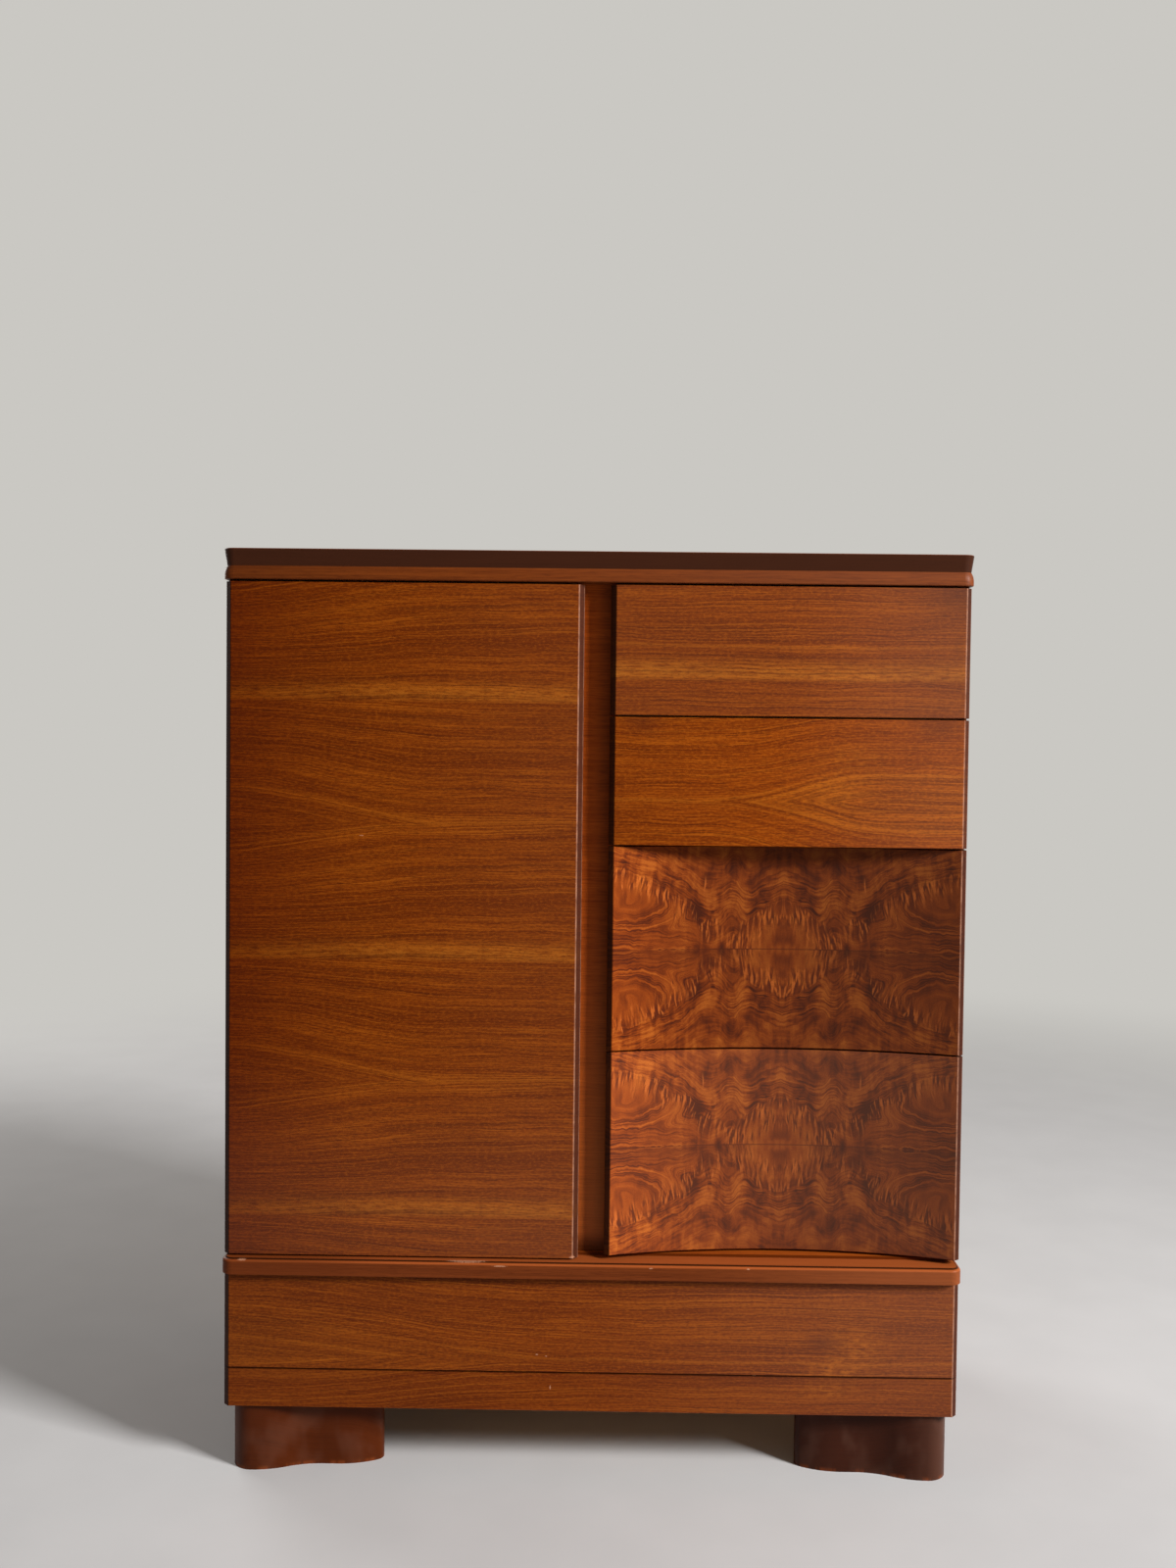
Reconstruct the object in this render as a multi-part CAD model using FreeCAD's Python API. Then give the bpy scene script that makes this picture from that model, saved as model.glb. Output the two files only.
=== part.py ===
"""Chifforobe: a wardrobe door on the left, four drawers on the right, a wide drawer in the base.

Millimetres, +X to the right as seen from the front, +Y to the back, +Z up.
The origin is the bottom centre of the bounding box: the floor, midway across and front to back.
Every node is one STEP file in parts/, and a node of several like pieces holds separate solids.
"""
import os
from math import atan2, cos, pi, radians, sin, sqrt

import FreeCAD
import Part

V = FreeCAD.Vector
UP = V(0, 0, 1)
PAST = 1.0                 # how far a cut runs on past the wood

# ---------------------------------------------------------------- driving dimensions, in mm
# Case
CASE_WIDTH = 1016.0        # over the case sides, and over the door and drawer fronts
CASE_DEPTH = 448.0         # front edges of the case sides to the back
SIDE = 20.0                # thickness of the case and base sides
PARTITION = 18.0           # thickness of each centre partition
PARTITION_SPREAD = 60.0    # clear distance between the two centre partitions
DECK = 18.0                # thickness of the subtop and the base bottom
BACK = 6.0                 # thickness of the plywood back panels
REBATE = 6.0               # how far the back panels lap into the sides
HOUSING = 6.0              # depth of the housings that hold the subtop and the drawer rails

# Heights, from the floor up
FOOT_HEIGHT = 91.0
FOOT_CLEAR = 2.0           # base drawer front above the feet
BASE_FRONT = 187.0         # height of the base drawer front
BASE_CLEAR = 2.0           # base drawer front below the waist rails
WAIST = 22.0               # thickness of the waist rails between base and upper case
FLOOR_STEP = 3.5           # case bottom above the waist rails
DOOR_CLEAR = 2.5           # door above the waist rails
DRAWER_CLEAR = 3.5         # lowest small drawer front above the case bottom
TOP_CLEAR = 3.0            # door and drawers below the top rim
DOOR_HEIGHT = 926.5
DRAWER_1_FRONT = 176.5     # heights of the two flat drawer fronts; the two bow-in ones share
DRAWER_2_FRONT = 175.0     # equally what is left
REVEAL = 2.5               # gap between two drawer fronts
RIM = 18.5                 # height of the moulded rim under the top board
TOP = 23.5                 # thickness of the top board

# Door and drawer fronts
SLAB = 22.0                # thickness, which the bow-in fronts keep at their ends
FRONT_GAP = 1.2            # fronts to the front edges of the case
BEVEL = 7.5                # bevel along the upright front edges, equally wide and deep
ARRIS = 0.8                # chamfer that eases the fronts' sharp edges
CHANNEL = 36.0             # width of the finger channel between door and drawers
CHANNEL_DEPTH = 30.0       # faces of the fronts to the floor of the finger channel
CHANNEL_BOARD = 10.0       # thickness of the board in the channel
UNDERCUT = 10.0            # radius of the finger hollow behind a pulling edge
BOW = 38.0                 # how far drawer fronts 3 and 4 bow in at the middle
SCORE_HEIGHT = 54.0        # scored line above the lower edge of the base drawer front
SCORE_WIDTH = 2.2
SCORE_DEPTH = 2.0

# Moulded edges, which run round the front and both sides
WAIST_PROJECTION = 12.0    # waist rails in front of the drawer faces
WAIST_OVERHANG = 1.0       # waist rails beyond the case sides
TOP_PROJECTION = 2.0       # top board and rim in front of the drawer faces
OVERHANG = 3.5             # top board and rim beyond the case sides
CORNER = 15.0              # plan radius of the moulded corners
NOTCH = 3.5                # depth of the V between top board and rim
RIM_ROUND = 12.0           # height of the rim's rounded upper part
RIM_EASE = 2.0             # rounding of the rim's lower edge
TOP_EASE = 1.0             # chamfer on the top board's upper edge
WAIST_ROUND = 4.0          # radius of the waist rails' rounded edge
QUIRK = 1.5                # small square step above that rounding
RIM_RAIL = 60.0            # width of the rim's rails

# Drawer boxes
BOX_SIDE = 12.0            # thickness of the drawer sides and backs
BOX_PLAY = 1.5             # drawer box to the case on each side
BOX_HEADROOM = 4.0         # drawer sides below the rail above
BOX_BEHIND = 8.0           # drawer box to the back panel
BOX_BOTTOM = 5.0           # thickness of the drawer bottoms
BOTTOM_RISE = 10.0         # drawer bottom above the lower edge of the sides
GROOVE = 5.0               # depth of the grooves that hold the drawer bottoms
GROOVE_PLAY = 0.5          # drawer bottom to the floor of its groove
BACK_DROP = 5.0            # drawer back below the upper edge of the sides
TONGUE = 9.0               # length of the sliding dovetail that joins side and front
TONGUE_NECK = 6.0          # its width at the root
TONGUE_TIP = 8.6           # its width at the tip
TONGUE_STOP = 14.0         # it stops this far below the upper edge of the side
TAIL_PITCH = 30.0          # spacing of the dovetails at the back corners, rounded to whole tails
PIN_SHARE = 0.36           # share of the pitch that a dovetail pin takes up
DOVETAIL_SLOPE = 0.16      # widening of a tail per unit of length

# Drawer rails and runners
RAIL = 20.0                # height of rails and runners
RAIL_DEPTH = 80.0          # front to back
RUNNER_WIDTH = 20.0
GLIDE = 6.0                # height of the glides under the base drawer

# Hinges
HINGES = 3
HINGE_INSET = 130.0        # middle of the end hinges from the door's ends
HINGE_LENGTH = 76.0
KNUCKLES = 3               # uneven number: the case leaf has one more than the door leaf
KNUCKLE_GAP = 0.3
BARREL_R = 2.8
PIN_R = 1.4
PIN_PLAY = 0.05            # pin in the knuckles that turn on it
LEAF = 1.6                 # thickness of a hinge leaf
LEAF_WIDTH = 17.0          # hinge axis to the far edge of a leaf
LEAF_GAP = 0.2             # between the leaves of the closed hinge
BARREL_CLEAR = 0.4         # wood and opposite leaf round the barrel

# Catch that holds the door shut
CATCH_DROP = 40.0          # catch below the subtop
CATCH_SET_BACK = 4.0       # catch behind the case front
CATCH_LENGTH = 18.0        # front to back
CATCH_REACH = 13.0         # jaws out from the partition
CATCH_PLATE = 1.5
CATCH_HEIGHT = 24.0
JAW = 1.2                  # thickness of a jaw
BLADE = 2.0                # thickness of the strike's blade
BLADE_SHY = 1.5            # blade short of the catch at its end and on each side
JAW_PLAY = 0.3             # blade to each jaw
STRIKE_WIDTH = 14.0
STRIKE_HEIGHT = 36.0

# Hanging rod, which runs front to back
ROD_R = 11.0
ROD_DROP = 48.0            # rod below the subtop
ROD_END = 30.0             # rod ends to the case front and to the back panel
BRACKET_INSET = 14.0       # brackets from the rod's ends
BRACKET = 4.0              # thickness of the brackets
BRACKET_WIDTH = 34.0
BRACKET_FLANGE = 26.0

# Feet
FOOT_WIDTH = 208.0
FOOT_DEPTH = 100.0
FOOT_SIDE = 34.0           # thickness of a front foot's side part
FOOT_INSET = 9.0           # outer faces of the feet in from the case sides
FOOT_SET_BACK = 7.0        # front of a foot behind the drawer faces
FOOT_OUTER_R = 28.0        # plan radius at the outer front corner
FOOT_WAVE = 21.0           # how far the front swings back behind that corner
FOOT_WAVE_RUN = 98.0       # width over which it does
FOOT_EASE = 62.0           # width over which the inner end falls away
FOOT_FALL = 26.0           # how far back its tip lies
FOOT_TIP_R = 14.0          # plan radius of the tip
REAR_FOOT_WIDTH = 90.0     # rear feet, square in plan
REAR_FOOT_INSET = 6.0      # rear feet in from the back
BLOCK = 38.0               # glue blocks in the angle of the front feet
FINGER_NOTCH_WIDTH = 120.0 # hollows in the base bottom, for pulling the base drawer
FINGER_NOTCH_DEPTH = 30.0
FINGER_NOTCH_X = 180.0     # their middles from the centre line

# ---------------------------------------------------------------- planes worked out from them
HALF = CASE_WIDTH / 2
PROUD = max(WAIST_PROJECTION, TOP_PROJECTION)
TOTAL_DEPTH = PROUD + SLAB + FRONT_GAP + CASE_DEPTH
FACE_Y = -TOTAL_DEPTH / 2 + PROUD          # faces of the door and the flat drawers
SLAB_Y = FACE_Y + SLAB                     # backs of the fronts
CASE_Y = SLAB_Y + FRONT_GAP                # front edges of the case
BACK_Y = TOTAL_DEPTH / 2
PANEL_Y = BACK_Y - BACK                    # inner face of the back panels

BASE_Z = FOOT_HEIGHT
BASE_FRONT_Z = FOOT_HEIGHT + FOOT_CLEAR
WAIST_Z = BASE_FRONT_Z + BASE_FRONT + BASE_CLEAR
WAIST_TOP_Z = WAIST_Z + WAIST
FLOOR_Z = WAIST_TOP_Z + FLOOR_STEP         # floor of the wardrobe and of the drawer bay
DOOR_Z = WAIST_TOP_Z + DOOR_CLEAR
STACK_TOP_Z = DOOR_Z + DOOR_HEIGHT
BOWS = [0.0, 0.0, BOW, BOW]
STACK_HEIGHT = STACK_TOP_Z - FLOOR_Z - DRAWER_CLEAR
BOW_FRONTS = STACK_HEIGHT - DRAWER_1_FRONT - DRAWER_2_FRONT - (len(BOWS) - 1) * REVEAL
FRONTS = [DRAWER_1_FRONT, DRAWER_2_FRONT, BOW_FRONTS / 2, BOW_FRONTS / 2]
RIM_Z = STACK_TOP_Z + TOP_CLEAR
TOP_Z = RIM_Z + RIM
SUBTOP_Z = RIM_Z - DECK

INNER_X = HALF - SIDE                      # inner faces of the case sides
PART_X = PARTITION_SPREAD / 2              # channel faces of the partitions
BAY_X = PART_X + PARTITION                 # bay faces of the partitions
DOOR_X = (-HALF, -CHANNEL / 2)
DRAWER_X = (CHANNEL / 2, HALF)
BACK_X = INNER_X + REBATE                  # side edges of the back panels
HINGE_X = -HALF
HINGE_Y = (SLAB_Y + CASE_Y) / 2


# ---------------------------------------------------------------- small tools
def box(x0, x1, y0, y1, z0, z1):
    return Part.makeBox(x1 - x0, y1 - y0, z1 - z0, V(x0, y0, z0))


def rod(r, start, direction, length):
    return Part.makeCylinder(r, length, start, direction)


def outline(start, *steps):
    """Closed face in the XY plane. A step is the next point, or (point on the arc, next point)."""
    edges = []
    here = V(*start, 0)
    for step in steps + (start,):
        if isinstance(step[0], tuple):
            through, there = V(*step[0], 0), V(*step[1], 0)
            edges.append(Part.Arc(here, through, there).toShape())
        else:
            there = V(*step, 0)
            if there.distanceToPoint(here) < 1e-6:
                continue
            edges.append(Part.LineSegment(here, there).toShape())
        here = there
    return Part.Face(Part.Wire(edges))


def prism(face, z0, z1):
    """Extrude a face of the XY plane from z0 to z1."""
    solid = face.extrude(V(0, 0, z1 - z0))
    solid.translate(V(0, 0, z0))
    return solid


def fuse(*shapes):
    """One solid of shapes that touch, without the seams between them."""
    whole = shapes[0]
    if len(shapes) > 1:
        whole = whole.fuse(list(shapes[1:]))
    return whole.removeSplitter()


def mirrored(shape):
    """The same shape on the other side of the centre line."""
    return shape.mirror(V(0, 0, 0), V(1, 0, 0))


def between(x0, x1, y0, y1, z0, z1, edge):
    """Whether an edge lies inside the given limits."""
    b = edge.BoundBox
    e = 1e-3
    return (b.XMin > x0 - e and b.XMax < x1 + e and b.YMin > y0 - e and b.YMax < y1 + e
            and b.ZMin > z0 - e and b.ZMax < z1 + e)


nodes = {}


def keep(name, *solids):
    """Keep one node: a solid, or several separate ones."""
    parts = [s for shape in solids for s in shape.Solids]
    nodes[name] = parts[0] if len(parts) == 1 else Part.makeCompound(parts)


# ---------------------------------------------------------------- moulded boards
def place_section(section, corner, outward):
    """Stand a section, drawn as (outward, up), on a vertical line through corner."""
    along = outward.cross(UP)
    matrix = FreeCAD.Matrix(outward.x, 0, along.x, corner.x,
                            outward.y, 0, along.y, corner.y,
                            0, 1, along.z, 0,
                            0, 0, 0, 1)
    return section.transformed(matrix)


def moulded_board(section, x1, y0, y1, z0, z1):
    """Board from -x1 to x1 whose section runs round its front, both sides and front corners.

    The section is drawn from 0, the inner line, to CORNER, the board's outer edge.
    """
    left, right = V(-x1 + CORNER, y0 + CORNER, 0), V(x1 - CORNER, y0 + CORNER, 0)
    width, depth = 2 * (x1 - CORNER), y1 - y0 - CORNER
    front = place_section(section, left, V(0, -1, 0)).extrude(V(width, 0, 0))
    sides = [place_section(section, spot, out).extrude(V(0, depth, 0))
             for spot, out in ((left, V(-1, 0, 0)), (right, V(1, 0, 0)))]
    corners = [place_section(section, spot, out).revolve(spot, UP, 90)
               for spot, out in ((left, V(-1, 0, 0)), (right, V(0, -1, 0)))]
    core = box(left.x, right.x, left.y, y1, z0, z1)
    return fuse(core, front, *sides, *corners)


def quarter(centre, a, b, start, end):
    """Point halfway along an elliptical quarter, between two angles in degrees."""
    angle = radians((start + end) / 2)
    return (centre[0] + a * cos(angle), centre[1] + b * sin(angle))


def make_top():
    """Top board with an undercut edge, on a rim of three mitred rails with a rounded edge."""
    x1, y0 = HALF + OVERHANG, FACE_Y - TOP_PROJECTION
    top = TOP_Z + TOP
    undercut = outline((0, TOP_Z), (CORNER - NOTCH, TOP_Z), (CORNER, top - TOP_EASE),
                       (CORNER - TOP_EASE, top), (0, top))
    keep("top_board", moulded_board(undercut, x1, y0, BACK_Y, TOP_Z, top))

    # The rounded part starts in the V and comes out to the full width in one arc.
    shoulder = (CORNER, TOP_Z - RIM_ROUND)
    notch = (CORNER - NOTCH, TOP_Z)
    chord = sqrt(NOTCH ** 2 + RIM_ROUND ** 2)
    radius = chord ** 2 / (2 * NOTCH)
    tilt = atan2(RIM_ROUND, radius - NOTCH) / 2
    crest = (CORNER - radius + radius * cos(tilt), shoulder[1] + radius * sin(tilt))
    ease = quarter((CORNER - RIM_EASE, RIM_Z + RIM_EASE), RIM_EASE, RIM_EASE, 0, -90)
    rounded = outline((0, RIM_Z), (CORNER - RIM_EASE, RIM_Z), (ease, (CORNER, RIM_Z + RIM_EASE)),
                      shoulder, (crest, notch), (0, TOP_Z))
    rim = moulded_board(rounded, x1, y0, BACK_Y, RIM_Z, TOP_Z)
    rim = rim.cut([box(-x1 + RIM_RAIL, x1 - RIM_RAIL, y0 + RIM_RAIL, BACK_Y, RIM_Z, TOP_Z),
                   box(-BACK_X, BACK_X, PANEL_Y, BACK_Y, RIM_Z, TOP_Z)])
    far = BACK_Y + PAST - y0
    mitre = prism(outline((-x1, y0), (-x1 + far, y0 + far), (-x1 - PAST, y0 + far),
                          (-x1 - PAST, y0)), RIM_Z, TOP_Z)
    rim_left = rim.common(mitre)
    keep("rim_rail_left", rim_left)
    keep("rim_rail_right", mirrored(rim_left))
    keep("rim_rail_front", rim.cut([mitre, mirrored(mitre)]))


def make_waist():
    """Three mitred waist rails with a step and a rounding, and the case bottom between them."""
    x1, y0 = HALF + WAIST_OVERHANG, FACE_Y - WAIST_PROJECTION
    top_z = WAIST_TOP_Z - QUIRK
    middle = (CORNER - WAIST_ROUND, top_z - WAIST_ROUND)
    rounding = quarter(middle, WAIST_ROUND, WAIST_ROUND, 0, 90)
    section = outline((0, WAIST_Z), (CORNER, WAIST_Z), (CORNER, middle[1]),
                      (rounding, (middle[0], top_z)), (middle[0] - QUIRK, top_z),
                      (middle[0] - QUIRK, WAIST_TOP_Z), (0, WAIST_TOP_Z))
    frame = moulded_board(section, x1, y0, BACK_Y, WAIST_Z, WAIST_TOP_Z)
    bottom = box(-INNER_X, INNER_X, CASE_Y, BACK_Y, WAIST_Z, FLOOR_Z)
    frame = frame.cut(bottom)
    far = BACK_Y + PAST
    mitre = prism(outline((-x1, y0), (-INNER_X, CASE_Y), (-INNER_X, far), (-x1 - PAST, far),
                          (-x1 - PAST, y0)), WAIST_Z, WAIST_TOP_Z)
    rail_left = frame.common(mitre)
    keep("waist_rails_side", rail_left, mirrored(rail_left))
    keep("waist_rail_front", frame.cut([mitre, mirrored(mitre)]))
    keep("case_bottom", bottom)


# ---------------------------------------------------------------- fronts
class Front:
    """A door or drawer front: its width, and the surfaces that follow its flat or bow-in face."""

    def __init__(self, x0, x1, z0, z1, bow=0.0):
        self.x0, self.x1, self.z0, self.z1, self.bow = x0, x1, z0, z1, bow
        self.middle = (x0 + x1) / 2
        self.half = (x1 - x0) / 2
        if bow:
            self.centre_y = FACE_Y + bow - (self.half ** 2 + bow ** 2) / (2 * bow)

    def y(self, x, depth):
        """Y of the surface that lies depth behind the face at the front's ends."""
        if not self.bow:
            return FACE_Y + depth
        reach = FACE_Y + depth - self.centre_y
        radius_squared = self.half ** 2 + reach ** 2
        return self.centre_y + sqrt(radius_squared - (x - self.middle) ** 2)

    def path(self, xa, xb, depth):
        """Step of an outline that follows that surface to xb."""
        end = (xb, self.y(xb, depth))
        if not self.bow:
            return end
        middle = (xa + xb) / 2
        return ((middle, self.y(middle, depth)), end)

    def behind(self, xa, xb, depth, y_end, z0, z1):
        """Everything behind that surface, as far as y_end."""
        face = outline((xb, y_end), (xa, y_end), (xa, self.y(xa, depth)), self.path(xa, xb, depth))
        return prism(face, z0, z1)

    def slab(self, pull):
        """The front itself: bevelled ends, eased arrises, a finger hollow behind one edge."""
        x0, x1 = self.x0, self.x1
        edge_y = FACE_Y + BEVEL
        face = outline((x0, SLAB_Y), (x0, edge_y), (x0 + BEVEL, self.y(x0 + BEVEL, 0)),
                       self.path(x0 + BEVEL, x1 - BEVEL, 0), (x1, edge_y), (x1, SLAB_Y),
                       self.path(x1, x0, SLAB))
        slab = prism(face, self.z0, self.z1)
        deepest = FACE_Y + self.bow + ARRIS
        facing = [e for e in slab.Edges
                  if between(x0 + BEVEL / 2, x1 - BEVEL / 2, FACE_Y, deepest, self.z0, self.z1, e)]
        upright = [e for e in slab.Edges if between(x0, x1, edge_y, edge_y, self.z0, self.z1, e)
                   and e.Length > (self.z1 - self.z0) / 2]
        slab = slab.makeChamfer(ARRIS, facing + upright)
        if pull == "bottom":
            hollow = rod(UNDERCUT, V(x0, SLAB_Y, self.z0), V(1, 0, 0), x1 - x0)
        else:
            hollow = rod(UNDERCUT, V(x0 if pull == "left" else x1, SLAB_Y, self.z0), UP,
                         self.z1 - self.z0)
        return slab.cut(hollow)


# ---------------------------------------------------------------- drawers
def dovetail_pins(x0, x1, y0, y1, z0, z1):
    """Pins of a through dovetail: wide at y0, the inner line, and narrow at y1, the end."""
    tails = max(2, round((z1 - z0) / TAIL_PITCH))
    pitch = (z1 - z0) / tails
    half_pin = pitch * PIN_SHARE / 2
    taper = min((y1 - y0) * DOVETAIL_SLOPE, half_pin / 2)
    pins = []
    for i in range(tails + 1):
        z = z0 + i * pitch
        low = z if i == 0 else z - half_pin
        high = z if i == tails else z + half_pin
        low_end = low if i == 0 else low + taper
        high_end = high if i == tails else high - taper
        corners = [V(x0, y0, low), V(x0, y1, low_end), V(x0, y1, high_end), V(x0, y0, high)]
        face = Part.Face(Part.makePolygon(corners + corners[:1]))
        pins.append(face.extrude(V(x1 - x0, 0, 0)))
    return pins


def sliding_dovetail(front, x, z0, z1):
    """Upright tongue that joins a drawer side, centred on x, to the back of its front."""
    root = front.y(x, SLAB)
    neck, tip = TONGUE_NECK / 2, TONGUE_TIP / 2
    face = outline((x - neck, root + BOX_SIDE / 2), (x - neck, root), (x - tip, root - TONGUE),
                   (x + tip, root - TONGUE), (x + neck, root), (x + neck, root + BOX_SIDE / 2))
    return prism(face, z0, z1)


def make_drawer(name, front, pull, box_x, box_z, score=None):
    """One drawer: front, two sides, back and bottom, joined as the real ones are."""
    (x0, x1), (z0, z1) = box_x, box_z
    end_y = PANEL_Y - BOX_BEHIND
    bottom_z = z0 + BOTTOM_RISE
    back_z = (bottom_z + BOX_BOTTOM, z1 - BACK_DROP)
    tongue_top = min(z1, front.z1) - TONGUE_STOP

    slab = front.slab(pull)
    if score is not None:
        slab = slab.cut(box(front.x0, front.x1, FACE_Y, FACE_Y + SCORE_DEPTH,
                            score - SCORE_WIDTH / 2, score + SCORE_WIDTH / 2))
    panel_x = (x0 + BOX_SIDE - GROOVE, x1 - BOX_SIDE + GROOVE)
    slot = front.behind(*panel_x, SLAB - GROOVE, end_y + PAST, bottom_z, bottom_z + BOX_BOTTOM)
    cuts = [slot]

    pins = []
    for side_name, sx in (("side_left", x0), ("side_right", x1 - BOX_SIDE)):
        middle = sx + BOX_SIDE / 2
        cuts.append(sliding_dovetail(front, middle, front.z0, tongue_top))
        board = front.behind(sx, sx + BOX_SIDE, SLAB, end_y, z0, z1)
        board = fuse(board, sliding_dovetail(front, middle, max(z0, front.z0), tongue_top))
        corner = dovetail_pins(sx, sx + BOX_SIDE, end_y - BOX_SIDE, end_y, *back_z)
        pins += corner
        keep(f"{name}_{side_name}", board.cut([slot] + corner))

    back = box(x0 + BOX_SIDE, x1 - BOX_SIDE, end_y - BOX_SIDE, end_y, *back_z)
    keep(f"{name}_back", fuse(back, *pins))
    keep(f"{name}_bottom", front.behind(panel_x[0] + GROOVE_PLAY, panel_x[1] - GROOVE_PLAY,
                                        SLAB - GROOVE + GROOVE_PLAY, end_y,
                                        bottom_z, bottom_z + BOX_BOTTOM))
    keep(f"{name}_front", slab.cut(cuts))


def make_drawers():
    """The four drawers of the right bay, each on its rail, and the wide one in the base."""
    box_x = (BAY_X + BOX_PLAY, INNER_X - BOX_PLAY)
    top_z, ceiling = STACK_TOP_Z, SUBTOP_Z
    for number, (height, bow) in enumerate(zip(FRONTS, BOWS), start=1):
        front_z = top_z - height
        last = number == len(FRONTS)
        seat = FLOOR_Z if last else front_z - REVEAL / 2 + RAIL / 2
        front = Front(*DRAWER_X, front_z, top_z, bow)
        make_drawer(f"drawer_{number}", front, "left", box_x, (seat, ceiling - BOX_HEADROOM))
        top_z = front_z - REVEAL
        ceiling = seat - RAIL

    front = Front(-HALF, HALF, BASE_FRONT_Z, BASE_FRONT_Z + BASE_FRONT)
    make_drawer("base_drawer", front, "bottom", (-INNER_X + BOX_PLAY, INNER_X - BOX_PLAY),
                (BASE_Z + DECK + GLIDE, WAIST_Z - BOX_HEADROOM), front.z0 + SCORE_HEIGHT)


# ---------------------------------------------------------------- hinges and door
def hinge_middles():
    """Heights of the hinge middles, evenly spread between the end ones."""
    low, high = DOOR_Z + HINGE_INSET, STACK_TOP_Z - HINGE_INSET
    return [low + i * (high - low) / (HINGES - 1) for i in range(HINGES)]


def knuckle_spans(z0, first):
    """Height spans of every second knuckle, from knuckle number first."""
    pitch = HINGE_LENGTH / KNUCKLES
    return [(z0 + i * pitch + KNUCKLE_GAP / 2, z0 + (i + 1) * pitch - KNUCKLE_GAP / 2)
            for i in range(first, KNUCKLES, 2)]


def leaf_box(side, z0, z1, x0=0.0, near=LEAF_GAP / 2):
    """Room of a hinge leaf: side is 1 for the case leaf and -1 for the door leaf."""
    ys = sorted((HINGE_Y + side * near, HINGE_Y + side * (LEAF_GAP / 2 + LEAF)))
    return box(HINGE_X + x0, HINGE_X + LEAF_WIDTH, *ys, z0, z1)


def make_leaf(z0, side, first, bore):
    """One hinge leaf: a plate and its knuckles, bored for the pin."""
    clear = BARREL_R + BARREL_CLEAR
    leaf = [leaf_box(side, z0, z0 + HINGE_LENGTH, clear)]
    for a, b in knuckle_spans(z0, first):
        leaf.append(leaf_box(side, a, b))
        leaf.append(rod(BARREL_R, V(HINGE_X, HINGE_Y, a), UP, b - a))
    hole = rod(bore, V(HINGE_X, HINGE_Y, z0), UP, HINGE_LENGTH)
    return fuse(*leaf).cut(hole)


def make_hinges():
    """Butt hinges on the outer corner. Returns what the case side and the door lose to them."""
    case_leaves, door_leaves, pins, case_cuts, door_cuts = [], [], [], [], []
    for middle in hinge_middles():
        z0 = middle - HINGE_LENGTH / 2
        z1 = z0 + HINGE_LENGTH
        case_leaves.append(make_leaf(z0, 1, 0, PIN_R))
        door_leaves.append(make_leaf(z0, -1, 1, PIN_R + PIN_PLAY))
        pins.append(rod(PIN_R, V(HINGE_X, HINGE_Y, z0), UP, HINGE_LENGTH))
        relief = rod(BARREL_R + BARREL_CLEAR, V(HINGE_X, HINGE_Y, z0), UP, HINGE_LENGTH)
        case_cuts += [leaf_box(1, z0, z1, 0, 0), relief]
        door_cuts += [leaf_box(-1, z0, z1, 0, 0), relief]
    keep("hinge_leaves_case", *case_leaves)
    keep("hinge_leaves_door", *door_leaves)
    keep("hinge_pins", *pins)
    return case_cuts, door_cuts


def make_catch():
    """Spring catch on the partition, and the strike on the door whose blade it grips."""
    z = SUBTOP_Z - CATCH_DROP
    y0 = CASE_Y + CATCH_SET_BACK
    y1 = y0 + CATCH_LENGTH
    x0, x1 = -BAY_X - CATCH_REACH, -BAY_X - CATCH_PLATE
    plate = box(x1, -BAY_X, y0, y1, z - CATCH_HEIGHT / 2, z + CATCH_HEIGHT / 2)
    to_jaw = BLADE / 2 + JAW_PLAY
    jaws = [box(x0, x1, y0, y1, low, low + JAW) for low in (z + to_jaw, z - to_jaw - JAW)]
    keep("door_catch", fuse(plate, *jaws))

    middle = (x0 + x1) / 2
    foot = box(middle - STRIKE_WIDTH / 2, middle + STRIKE_WIDTH / 2, SLAB_Y,
               SLAB_Y + FRONT_GAP / 2, z - STRIKE_HEIGHT / 2, z + STRIKE_HEIGHT / 2)
    blade = box(x0 + BLADE_SHY, x1 - BLADE_SHY, SLAB_Y + FRONT_GAP / 2, y1 - BLADE_SHY,
                z - BLADE / 2, z + BLADE / 2)
    keep("door_strike", fuse(foot, blade))


def make_door(door_cuts):
    front = Front(*DOOR_X, DOOR_Z, STACK_TOP_Z)
    keep("door_panel", front.slab("right").cut(door_cuts))


# ---------------------------------------------------------------- upper case
def rail_levels():
    """Upper faces of the rails, and whether the front below each of them bows in."""
    z = STACK_TOP_Z
    levels = []
    for height, bow_below in zip(FRONTS, BOWS[1:]):
        z -= height
        levels.append((z - REVEAL / 2 + RAIL / 2, bow_below > 0))
        z -= REVEAL
    return levels


def bow_room(z0, z1):
    """What the bow-in fronts take up, clearance included, behind the plane of the case front."""
    bow = Front(*DRAWER_X, z0, z1, BOW)
    return prism(outline((bow.x0, CASE_Y), bow.path(bow.x0, bow.x1, SLAB + FRONT_GAP)), z0, z1)


def make_rails():
    """Divider rails between the drawers and the runners behind them. Returns their housings."""
    rails, runners, housings = [], [], []
    rail_end = CASE_Y + RAIL_DEPTH
    for seat, bowed in rail_levels():
        z0 = seat - RAIL
        x0, x1 = BAY_X - HOUSING, INNER_X + HOUSING
        rail = box(x0, x1, CASE_Y, rail_end, z0, seat)
        housings.append(rail)
        if bowed:
            rail = rail.cut(bow_room(z0, seat))
        rails.append(rail)
        for x in (BAY_X, INNER_X - RUNNER_WIDTH):
            runners.append(box(x, x + RUNNER_WIDTH, rail_end, PANEL_Y, z0, seat))
    keep("drawer_rails", *rails)
    keep("drawer_runners", *runners)
    return housings


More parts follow.
